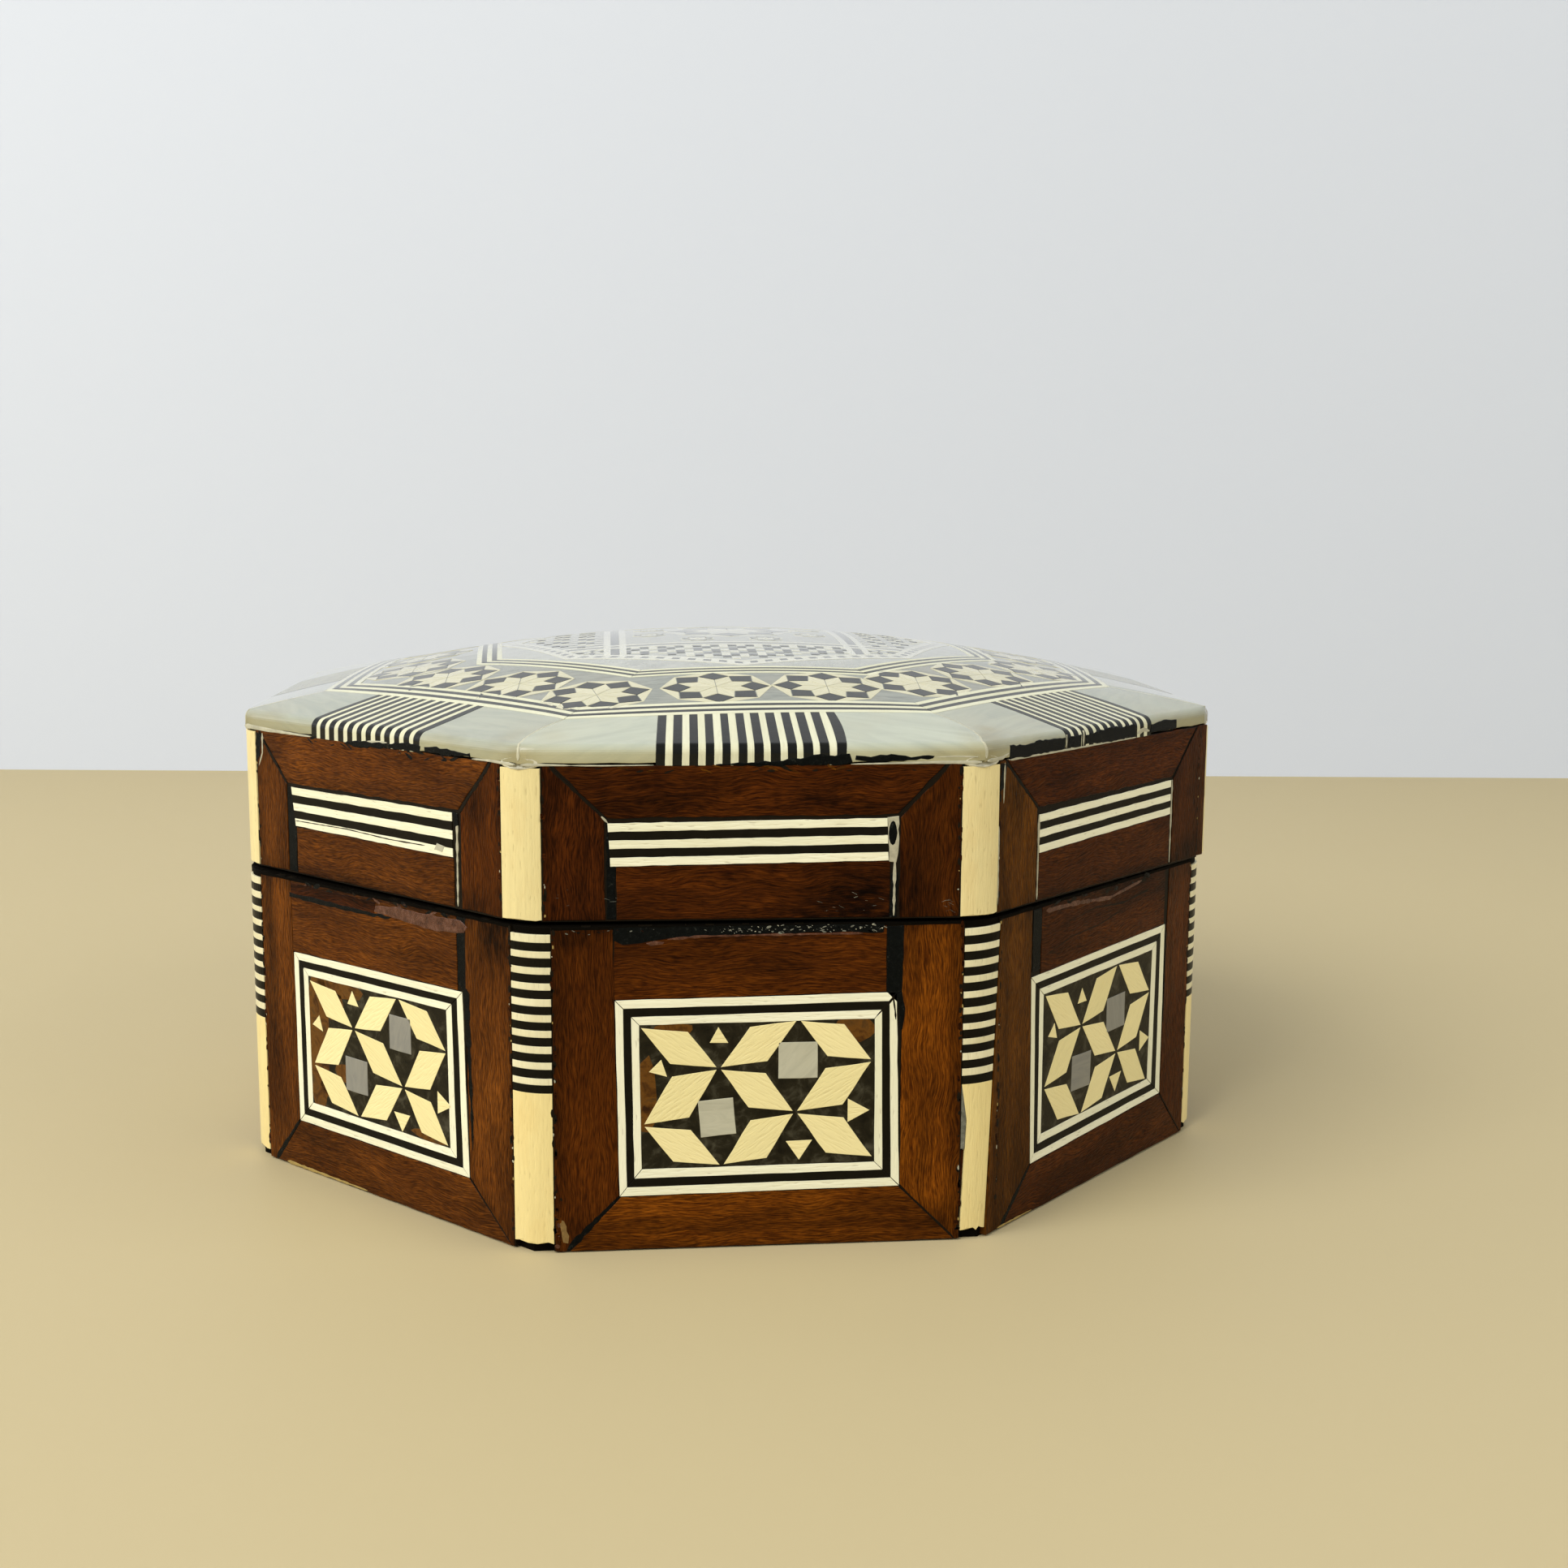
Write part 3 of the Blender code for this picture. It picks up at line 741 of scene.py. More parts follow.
def octagon(reach, turn=0.0):
    radius = reach / math.cos(HALF)
    return [(radius * math.cos(FRONT - HALF + k * STEP + turn),
             radius * math.sin(FRONT - HALF + k * STEP + turn))
            for k in range(SIDES)]


def octagonal(profile):
    """Rings for a loft from (reach, height) pairs, with reach 0 for a point on the axis."""
    return [(octagon(reach) if reach else [(0.0, 0.0)], height) for reach, height in profile]


def loft(piece, rings, point, finish, closed=False, dark=()):
    """Faces through rings, each a (plan, height) whose plan is an outline or a single point.

    Those after the rings in dark are painted near-black, as the shadow under the lid's edge.
    """
    loops = [[(piece.bm.verts.new(point(x, y, height)), x, y + height) for x, y in plan]
             for plan, height in rings]
    count = max(len(loop) for loop in loops)
    pairs = list(zip(loops, loops[1:]))
    if closed:
        pairs.append((loops[-1], loops[0]))
    for level, (lower, upper) in enumerate(pairs):
        skin = "seam" if level in dark else finish
        for index in range(count):
            after = (index + 1) % count
            ring = [lower[index % len(lower)], lower[after % len(lower)], upper[after % len(upper)],
                    upper[index % len(upper)]]
            corners = []
            for corner in ring:
                if corner[0] not in [kept[0] for kept in corners]:
                    corners.append(corner)
            if len(corners) > 2:
                piece.add_face(corners, skin, 0.0, 0.0, 0.5)


def base_point(x, y, z):
    return Vector((x + BASE_X, y + BASE_Y, z)) * MM


# How far the lid's wood lies under the top of the dome, and how much more under the middle field
DOME_BED = 1.3
FIELD_BED = 0.6


def build_bodies():
    base = Piece("base_body", "mahogany", "base_carcass")
    inner = BASE_REACH - VENEER
    profile = [(0.0, 0.0), (inner, 0.0), (inner, BASE_TOP), (LIP_OUTER, BASE_TOP), (LIP_OUTER, LIP_TOP - 0.3),
               (LIP_OUTER - 0.3, LIP_TOP), (BASE_INNER + 0.3, LIP_TOP), (BASE_INNER, LIP_TOP - 0.3),
               (BASE_INNER, FLOOR), (0.0, FLOOR)]
    # The body's outer wall and its ledge under the lid are painted near-black as shadow.
    loft(base, octagonal(profile), base_point, "wood_inside", dark=(1, 2))
    base.done()
    lid = Piece("lid_body", "mahogany", "lid_carcass")
    inner = LID_REACH - VENEER
    bed = [(reach, dome_height(0.0, -reach) - DOME_BED)
           for reach in (inner, 68.0, RING_REACH, 52.0, CENTRE_REACH)]
    bed += [(reach, dome_height(0.0, -reach) - DOME_BED - FIELD_BED) for reach in (28.0, 14.0)]
    profile = [(LID_INNER, LID_FOOT), (inner, LID_FOOT), *bed, (0.0, CROWN - 2.0),
               (0.0, LID_FOOT + LID_HOLLOW), (LID_INNER, LID_FOOT + LID_HOLLOW)]
    # The lid's underside rim and outer wall are painted near-black as shadow in the seam.
    loft(lid, octagonal(profile), lid_point, "wood_inside", closed=True, dark=(0, 1))
    lid.done()


# The corner slips

SLIP_ARC_STEPS = 8


def slip_section(reach, left, right):
    """A slip's section as (across, out) points: its round outside, then its flat inside."""
    half = SLIP_REACH * math.cos(HALF)
    edge = reach / math.cos(HALF) - SLIP_REACH * math.sin(HALF)
    radius = SLIP_REACH / math.tan(HALF)
    centre = edge - radius * math.cos(HALF)
    arc = []
    for step in range(SLIP_ARC_STEPS + 1):
        across = half * (left + (right - left) * step / SLIP_ARC_STEPS)
        arc.append((across, centre + math.sqrt(radius ** 2 - across ** 2)))
    return arc, [(half * right, edge - SLIP_THICKNESS), (half * left, edge - SLIP_THICKNESS)]


def whole_slip(_):
    """The left and right edges of a slip that is whole, as shares of its half width."""
    return -1.0, 1.0


def leaning_slip(z):
    """The slip whose right edge leans in towards its foot, and whose left edge is mended low down."""
    left = PATCHED_LEFT - PATCHED_LEAN * (1 - z / PATCHED_TOP) if z < PATCHED_TOP else -1.0
    return left, LEANING_FOOT + (1 - LEANING_FOOT) * z / BASE_TOP


def slip_block(piece, corner, reach, point, low, high, finish, slope=0.0, wear=0.0, edge=0.05,
               sides=whole_slip):
    """One block of a corner slip, from one height to another. Slope lifts its right-hand side."""
    angle = FRONT - HALF + corner * STEP
    cos, sin = math.cos(angle), math.sin(angle)
    tone = piece.rng.random()
    shift = piece.rng.uniform(0.0, 400.0)
    count = SLIP_ARC_STEPS + 3
    wear_low = [piece.rng.uniform(0.0, wear) for _ in range(count)]
    levels = []
    parts = 4 if high - low > TALL_BLOCK else 1
    steps = [low + edge + (high - low - 2 * edge) * k / parts for k in range(parts + 1)]
    for height, pull in ((low, edge), *((step, 0.0) for step in steps), (high, edge)):
        arc, back = slip_section(reach, *sides(min(max(height, low + 0.01), high - 0.01)))
        outline = arc + back
        loop = []
        for index, (across, out) in enumerate(outline):
            out -= pull if index < len(arc) else 0.0
            lift = slope * across + (wear_low[index] if height < low + 2 * edge else 0.0)
            x, y = out * cos - across * sin, out * sin + across * cos
            loop.append((piece.bm.verts.new(point(x, y, height + lift)), height, across))
        levels.append(loop)
    piece.close(levels, finish, 0.0, shift, tone)


STRIPES = 10
STRIPE_TOP = 43.4
STRIPE_PITCH = 2.18
STRIPE_BLACK = 1.22
# The front right slip of the base leans, and its left edge is mended up to a height
PATCHED_SLIP = 1
PATCHED_LEFT = -0.66
PATCHED_LEAN = 0.33
PATCHED_TOP = 22.4
GREY_FOOT = 13.0
LEANING_FOOT = 0.28
LEANING_SLOPE = 0.035
TALL_BLOCK = 6.0
# The far right slip of the lid is mostly covered by the stile beside it
COVERED_SLIP = 2
COVERED_LEFT = -0.3
COVER = 1.9


def build_base_slips():
    """The eight striped slips of the base, with the mended one."""
    for corner in range(SIDES):
        piece = Piece(f"base_slip_{corner + 1}", "bone", f"base_corner_strip_{corner + 1}")
        slope = LEANING_SLOPE if corner == PATCHED_SLIP else piece.rng.uniform(-0.02, 0.02)
        drop = piece.rng.uniform(-0.15, 0.15)
        heights = []
        for index in range(STRIPES):
            top = STRIPE_TOP - index * STRIPE_PITCH + drop + piece.rng.uniform(-0.06, 0.06)
            heights.append((top, top - STRIPE_BLACK - piece.rng.uniform(-0.08, 0.08)))
        above = BASE_TOP - SLIP_PAINTED_SHADOW
        sides = leaning_slip if corner == PATCHED_SLIP else whole_slip
        for top, bottom in heights:
            slip_block(piece, corner, BASE_REACH, base_point, top, above, "bone_stripe", slope, sides=sides)
            slip_block(piece, corner, BASE_REACH, base_point, bottom, top, "black", slope, sides=sides)
            above = bottom
        slip_block(piece, corner, BASE_REACH, base_point, SLIP_FOOT, above, "bone_low", 0.0, 0.5, sides=sides)
        if corner == PATCHED_SLIP:
            mends = ((-1.0, GREY_FOOT, above - 0.2, "filler_grey", BASE_REACH - 0.12),
                     (-1.03, SLIP_FOOT, GREY_FOOT - 0.1, "wood_dark", BASE_REACH - 0.3))
            for outer, low, high, finish, reach in mends:
                slip_block(piece, corner, reach, base_point, low, high, finish, 0.0, 0.3,
                           sides=lambda z, outer=outer: (outer, leaning_slip(z)[0] - 0.03))
        # Each slip's top, under the lid's edge, is painted near-black as shadow.
        slip_block(piece, corner, BASE_REACH - 0.3, base_point, BASE_TOP - SLIP_PAINTED_SHADOW, BASE_TOP - 0.05,
                   "seam")
        piece.done()


def build_lid_slips():
    """The eight plain slips of the lid."""
    for corner in range(SIDES):
        piece = Piece(f"lid_slip_{corner + 1}", "bone", f"lid_corner_strip_{corner + 1}")
        left = COVERED_LEFT if corner == COVERED_SLIP else -1.0
        slip_block(piece, corner, LID_REACH, lid_point, LID_FOOT + 0.2, LID_SIDE_TOP - 0.3, "bone", 0.0, 0.25,
                   sides=lambda z, left=left: (left, 1.0))
        if corner == 1:
            scuffs(piece, corner_place(corner), (0.6, 46.1), (2.6, 47.6), 9,
                   ("wood_warm", "wood_worn", "bed"), (0.3, 0.8), (0.5, 1.3), -0.55)
        piece.done()


# The base's faces: panel corners and mosaic nodes as measured, for the three faces that show

class FaceLayout:
    """Where the inlay of one base face lies, as x along the face and z above the table."""

    def __init__(self, panel, field, tips, squares, sawn_top=(-19.5, 17.2), brown=(),
                 off=((0.0, 0.0), (0.0, 0.0))):
        self.panel = panel
        self.field = field
        self.tips = tips
        self.squares = squares
        self.sawn_top = sawn_top
        self.brown = brown
        self.off = off


LAYOUTS = {
    "front": FaceLayout(
        panel=[(-19.45, 35.2), (18.7, 35.6), (19.35, 8.2), (-19.0, 7.8)],
        field=[(-16.25, 31.75), (15.7, 32.0), (15.9, 11.7), (-16.0, 11.55)],
        tips={(0, 0): (-16.3, 31.5), (1, 1): (-5.5, 25.5), (2, 0): (5.3, 32.05), (3, 1): (15.55, 26.1),
              (0, 2): (-15.9, 17.7), (2, 2): (4.9, 19.05), (1, 3): (-5.1, 11.75), (3, 3): (15.8, 12.3)},
        squares=[(5.25, 26.4, 5.35, 5.05, 0.0), (-5.75, 18.6, 4.85, 5.15, 5.0)],
        brown=[(-15.6, 22.0, 2.0, 5.5), (13.0, 30.5, 3.0, 2.2), (-11.5, 31.0, 3.0, 1.0)]),
    "front_left": FaceLayout(
        panel=[(-20.1, 34.0), (17.95, 34.35), (18.75, 7.85), (-19.9, 7.8)],
        field=[(-16.8, 30.9), (14.5, 31.2), (14.8, 11.2), (-16.6, 11.2)],
        tips={(0, 0): (-16.7, 30.4), (1, 1): (-6.3, 24.6), (2, 0): (3.9, 31.05), (3, 1): (14.45, 25.1),
              (0, 2): (-16.1, 17.45), (2, 2): (4.8, 18.0), (1, 3): (-5.4, 11.35), (3, 3): (14.6, 11.3)},
        squares=[(4.35, 25.85, 4.75, 5.15, 0.0), (-5.85, 17.6, 5.1, 5.15, 0.0)],
        sawn_top=(-20.3, 17.0), off=((-0.9, -1.4), (0.2, -0.7)),
        brown=[(-14.9, 21.0, 2.9, 13.0), (-9.5, 30.3, 5.5, 1.9), (-11.0, 27.6, 2.4, 2.6),
               (-8.6, 17.5, 2.4, 1.5), (10.5, 12.0, 4.0, 0.9), (-12.0, 14.6, 2.6, 1.8)]),
    "front_right": FaceLayout(
        panel=[(-19.55, 35.1), (19.7, 36.1), (19.8, 8.6), (-18.65, 7.5)],
        field=[(-16.1, 32.0), (15.9, 32.7), (15.6, 11.9), (-15.9, 11.2)],
        tips={(0, 0): (-15.8, 31.8), (1, 1): (-5.2, 25.05), (2, 0): (5.2, 32.4), (3, 1): (15.5, 26.2),
              (0, 2): (-15.5, 17.9), (2, 2): (5.5, 18.65), (1, 3): (-4.9, 11.35), (3, 3): (15.2, 11.95)},
        squares=[(4.95, 25.0, 5.5, 5.25, 1.0), (-4.95, 18.1, 5.5, 5.3, -2.0)],
        sawn_top=(-17.1, 19.3)),
}


def hidden_layout(rng):
    """A face that doesn't show: the same panel with its own small faults."""
    def near(x, z, by=0.25):
        return x + rng.uniform(-by, by), z + rng.uniform(-by, by)
    tips = {(0, 0): near(-16.0, 31.6), (1, 1): near(-5.5, 25.3), (2, 0): near(5.1, 31.9),
            (3, 1): near(15.5, 26.0), (0, 2): near(-15.8, 17.8), (2, 2): near(5.0, 18.7),
            (1, 3): near(-5.2, 11.7), (3, 3): near(15.5, 12.1)}
    squares = [(*near(5.1, 25.8), 5.2, 5.1, rng.uniform(-4, 4)),
               (*near(-5.5, 18.4), 5.2, 5.1, rng.uniform(-4, 4))]
    return FaceLayout(
        panel=[near(-19.4, 35.1), near(19.0, 35.4), near(19.3, 8.1), near(-19.1, 7.9)],
        field=[(-16.1, 31.9), (15.8, 32.1), (15.8, 11.6), (-16.0, 11.5)],
        tips=tips, squares=squares, sawn_top=(-19.4, 19.0),
        brown=[(*near(-12.0, 29.0, 3.0), 3.0, 1.5)])


# Each lozenge: the node at its upper end, the node at its lower end
LOZENGES = (((0, 0), (1, 1)), ((2, 0), (1, 1)), ((2, 0), (3, 1)), ((1, 1), (0, 2)), ((1, 1), (2, 2)),
            ((3, 1), (2, 2)), ((0, 2), (1, 3)), ((2, 2), (1, 3)), ((2, 2), (3, 3)))
LOZENGE_ACROSS = 0.61
LOZENGE_DOWN = 0.13
STRINGS = ("string", "black", "string")
TOP_GAP = 0.14


def lozenge(upper, lower):
    """Outline of the tile between two nodes, point by point."""
    width, height = lower[0] - upper[0], lower[1] - upper[1]
    sharp = 0.35 / math.hypot(width, height)
    first, last = lerp(upper, lower, sharp), lerp(upper, lower, 1 - sharp)
    return [first, (upper[0] + LOZENGE_ACROSS * width, upper[1] + LOZENGE_DOWN * height), last,
            (lower[0] - LOZENGE_ACROSS * width, lower[1] - LOZENGE_DOWN * height)]


def turned_box(x, z, width, height, degrees):
    cos, sin = math.cos(math.radians(degrees)), math.sin(math.radians(degrees))
    corners = [(-width / 2, -height / 2), (width / 2, -height / 2), (width / 2, height / 2),
               (-width / 2, height / 2)]
    return [(x + a * cos - b * sin, z + a * sin + b * cos) for a, b in corners]


def clip_to(outline, inside):
    """Keep the part of an outline that lies within a convex outline."""
    area = sum(x0 * y1 - x1 * y0 for (x0, y0), (x1, y1) in zip(inside, inside[1:] + inside[:1]))
    side = 1.0 if area > 0 else -1.0
    kept = list(outline)
    for (x0, y0), (x1, y1) in zip(inside, inside[1:] + inside[:1]):
        def off(point):
            return side * ((x1 - x0) * (point[1] - y0) - (y1 - y0) * (point[0] - x0))
        result = []
        for index, point in enumerate(kept):
            before = kept[index - 1]
            if (off(point) >= 0) != (off(before) >= 0):
                result.append(lerp(before, point, off(before) / (off(before) - off(point))))
            if off(point) >= 0:
                result.append(point)
        kept = result
        if not kept:
            return []
    return kept


def string_ends(outer, inner, index, row, count, gap):
    """One string on one side of a border: the two ends of its outer line and of its inner line."""
    after = (index + 1) % len(outer)
    lines = [[lerp(outer[at], inner[at], share / count) for at in (index, after)]
             for share in (row, row + 1)]
    back = gap / math.dist(*lines[0])
    return [[lerp(*line, back), lerp(*line, 1 - back)] for line in lines]


def string_border(piece, place, outer, inner, finishes):
    """Strings round a panel, mitred at its corners."""
    for index in range(len(outer)):
        for row, finish in enumerate(finishes):
            far, near = string_ends(outer, inner, index, row, len(finishes), 0.07)
            turn = math.pi / 2 if index % 2 else 0.0
            piece.tile(hand_cut(far + near[::-1], piece.rng, 0.045, 3.0), place, finish, -0.01, 0.5, turn,
                       0.03)


def panel_mosaic(side, face, layout):
    """The strings, ground, lozenges and squares of one base panel."""
    piece = Piece(f"base_mosaic_{face}", "base_mosaic", f"base_panel_{face}")
    place = base_face(side)
    rng = piece.rng
    string_border(piece, place, layout.panel, layout.field, STRINGS)
    piece.tile(layout.field, place, "ground", -0.05, 0.7)
    for x, z, wide, high in layout.brown:
        blob = [(x + wide * math.cos(k * math.pi / 5) * rng.uniform(0.8, 1.1),
                 z + high * math.sin(k * math.pi / 5) * rng.uniform(0.8, 1.1)) for k in range(10)]
        blob = clip_to(blob, layout.field)
        if len(blob) > 2:
            piece.tile(blob, place, "ground_brown", -0.042, 0.6, 0.0, 0.01)
    for upper, lower in LOZENGES:
        outline = lozenge(layout.tips[upper], layout.tips[lower])
        slope = math.atan2(outline[2][1] - outline[0][1], outline[2][0] - outline[0][0])
        piece.tile(hand_cut(outline, rng, 0.05, 2.2), place, "tile", -0.01, 0.5, slope, 0.04)
    for x, z, width, height, degrees in layout.squares:
        # The squares on the angled faces take the darker shell copy, painted shade.
        finish = "dim_shell" if face in ("front_left", "front_right") else "grey_shell"
        piece.tile(hand_cut(turned_box(x, z, width, height, degrees), rng, 0.05, 2.0), place, finish, -0.01,
                   0.5, rng.uniform(0, math.pi), 0.05)
    small_triangles(piece, place, layout)
    piece.done()


def small_triangles(piece, place, layout):
    """The four small pale triangles round the mosaic's edge."""
    top, low = layout.tips[(1, 1)], layout.tips[(3, 1)]
    left, right = [(tip[0] + off[0], tip[1] + off[1])
                   for tip, off in zip((layout.tips[(0, 2)], layout.tips[(2, 2)]), layout.off)]
    triangles = [
        [(top[0] - 1.25, top[1] + 3.6), (top[0] + 1.3, top[1] + 3.55), (top[0] - 0.1, top[1] + 5.75)],
        [(left[0] + 0.95, left[1] + 7.5), (left[0] + 3.4, left[1] + 6.8), (left[0] + 2.6, left[1] + 9.2)],
        [(right[0] + 7.25, right[1] - 1.55), (right[0] + 10.2, right[1] + 0.05),
         (right[0] + 7.25, right[1] + 1.75)],
        [(low[0] - 11.9, low[1] - 11.1), (low[0] - 8.3, low[1] - 11.0), (low[0] - 10.1, low[1] - 13.8)],
    ]
    for outline in triangles:
        cut_patch(piece, place, outline, "tile", -0.01, 0.04, 2.0, 0.03)


BASE_WOODS = {"front": ("wood_plain", "wood_bright", "wood_rail", "wood_bright"),
              "front_left": ("wood_amber", "wood_amber", "wood_amber", "wood_amber"),
              "front_right": ("wood_warm", "wood_cool", "wood_cool", "wood_cool")}
PLAIN_WOODS = ("wood_plain", "wood_plain", "wood", "wood_bright")
# Darker spots on each base face, as (x, z, half width, half height, strength): dirt at joints and corners,
# with painted shade along the top just under the lid.
BASE_DIRT_AND_SHADE = {
    "front": [(-2.0, 45.0, 26.0, 1.0, 0.8), (-25.0, 43.8, 2.6, 1.2, 0.9), (-21.5, 44.4, 1.5, 0.8, 0.6),
              (-27.8, 22.0, 0.9, 30.0, 0.6), (27.9, 24.0, 0.9, 30.0, 0.6), (-24.5, 2.5, 3.0, 2.5, 0.5),
              (24.0, 3.0, 4.0, 2.5, 0.6), (20.4, 22.0, 0.6, 16.0, 0.4), (-20.3, 22.0, 0.6, 16.0, 0.35),
              (0.0, 0.5, 28.0, 0.9, 0.5), (12.0, 5.0, 6.0, 1.5, 0.35)],
    "front_left": [(0.0, 45.0, 28.0, 1.1, 0.9), (-26.5, 28.0, 1.3, 16.0, 0.75), (-24.0, 14.0, 1.6, 9.0, 0.4),
                   (24.5, 42.4, 3.6, 3.8, 1.0), (27.6, 22.0, 0.9, 30.0, 0.6), (-14.0, 5.0, 6.0, 1.6, 0.4),
                   (22.0, 3.5, 5.0, 3.0, 0.4), (0.0, 0.5, 28.0, 0.9, 0.5), (19.8, 26.0, 0.7, 18.0, 0.6)],
    "front_right": [(0.0, 45.0, 28.0, 1.3, 0.8), (-27.6, 22.0, 0.9, 30.0, 0.6), (20.0, 42.5, 2.5, 2.5, 0.8),
                    (-23.0, 6.0, 3.0, 5.0, 0.3), (0.0, 0.5, 28.0, 0.9, 0.5), (2.0, 41.5, 12.0, 0.7, 0.6),
                    (8.0, 39.0, 9.0, 0.5, 0.6), (-6.0, 38.5, 7.0, 0.5, 0.5)],
}
PLAIN_DIRT_AND_SHADE = [(0.0, 45.0, 28.0, 0.9, 0.7), (-27.7, 22.0, 0.8, 30.0, 0.5), (27.7, 22.0, 0.8, 30.0, 0.5),
               (0.0, 0.5, 28.0, 0.8, 0.5)]
# Where the mitres at the bottom reach the foot: the stiles' ends, the low rail's ends
STILE_FEET = (-26.35, 27.3)
RAIL_FEET = (-25.75, 27.1)
# How far the stile beside the leaning slip follows it
STILE_LEAN = 2.2
# A top rail that stops short of this leaves a gap, which is filled
RAIL_SHORT = 18.5


def base_veneer(side, face, layout):
    """Stiles, rails, fillers and the dark bed of one base face."""
    piece = Piece(f"base_veneer_{face}", "mahogany")
    piece.dirt_and_shade = soft_spots(BASE_DIRT_AND_SHADE.get(face, PLAIN_DIRT_AND_SHADE))
    place = base_face(side)
    top, foot, half, gap = VENEER_TOP, VENEER_FOOT, BASE_HALF, TOP_GAP
    piece.tile([(-half - 0.15, foot), (half + 0.15, foot), (half + 0.15, BASE_TOP - 0.05),
                (-half - 0.15, BASE_TOP - 0.05)], place, "bed", -BED, VENEER + 0.2)
    upper_left, upper_right, lower_right, lower_left = layout.panel
    saw_left, saw_right = layout.sawn_top
    left_stile, right_stile, rail, low_rail = BASE_WOODS.get(face, PLAIN_WOODS)
    inner = [(STILE_FEET[0], foot), (lower_left[0] - gap, lower_left[1] + gap),
             (upper_left[0] - gap, upper_left[1]), (min(saw_left, upper_left[0]) - gap, top)]
    lean = STILE_LEAN if side == PATCHED_SLIP else 0.0
    veneer(piece, place, [((-half - lean * (1 - z / BASE_TOP), z), (x, z)) for x, z in inner], left_stile,
           math.pi / 2)
    reached = max(saw_right, upper_right[0] + 0.7) + gap
    inner = [(STILE_FEET[1], foot), (lower_right[0] + gap, lower_right[1] + gap),
             (upper_right[0] + 0.7, upper_right[1]), (reached, top)]
    veneer(piece, place, [((x, z), (half, z)) for x, z in inner], right_stile, math.pi / 2)
    veneer(piece, place, [((RAIL_FEET[0], foot), (RAIL_FEET[1], foot)),
                          ((lower_left[0] + gap, lower_left[1] - gap),
                           (lower_right[0] - gap, lower_right[1] - gap))],
           low_rail, 0.0)
    veneer(piece, place, [((saw_left, upper_left[1] + gap),
                           (saw_right, lerp(upper_left, upper_right, 0.95)[1] + gap)),
                          ((saw_left, top), (saw_right, top))], rail, 0.0)
    base_joints(piece, place, layout)
    # A near-black band along the top of the veneer, under the lid's edge, is painted shadow.
    dirt_and_shade = [(-half - 0.1, BASE_TOP - BASE_PAINTED_SHADOW), (half + 0.1, BASE_TOP - BASE_PAINTED_SHADOW),
             (half + 0.1, BASE_TOP - 0.03), (-half - 0.1, BASE_TOP - 0.03)]
    piece.tile(hand_cut(dirt_and_shade, piece.rng, 0.05, 1.5), place, "seam", 0.008, VENEER, 0.0, 0.03)
    base_repairs(piece, place, face, layout)
    worn_edges(piece, place, half - 0.1, 1.0, top, 34)
    piece.done()


def worn_edges(piece, place, half, low, high, count):
    """Dark and pale chips along the joints with the corner slips."""
    for hand in (-1, 1):
        scuffs(piece, place, (hand * half - 0.25, low), (hand * half + 0.2, high), count,
               ("bed", "bed", "wood_dark"), (0.25, 0.6), (0.8, 3.0), 0.012)
        scuffs(piece, place, (hand * half - 0.2, low), (hand * half + 0.15, high), count // 5,
               ("glue", "wood_worn"), (0.12, 0.3), (0.8, 2.5), 0.02)


def base_joints(piece, place, layout):
    """Rough dark lines where rails and stiles meet."""
    _, upper_right, lower_right, lower_left = layout.panel
    piece.bead(walk([(-26.1, VENEER_FOOT + 0.2), (lower_left[0] - 0.15, lower_left[1] - 0.1)]), place,
               "filler", (1.0, 0.4), 0.01)
    piece.bead(walk([(RAIL_FEET[1], VENEER_FOOT + 0.2), (lower_right[0] + 0.1, lower_right[1] - 0.1)]), place,
               "bed", (0.3, 0.2), 0.01)
    piece.bead(walk([(upper_right[0] + 0.45, upper_right[1] - 1.0), (upper_right[0] + 0.5, 20.0)]), place,
               "bed", (0.5, 0.15), 0.01)


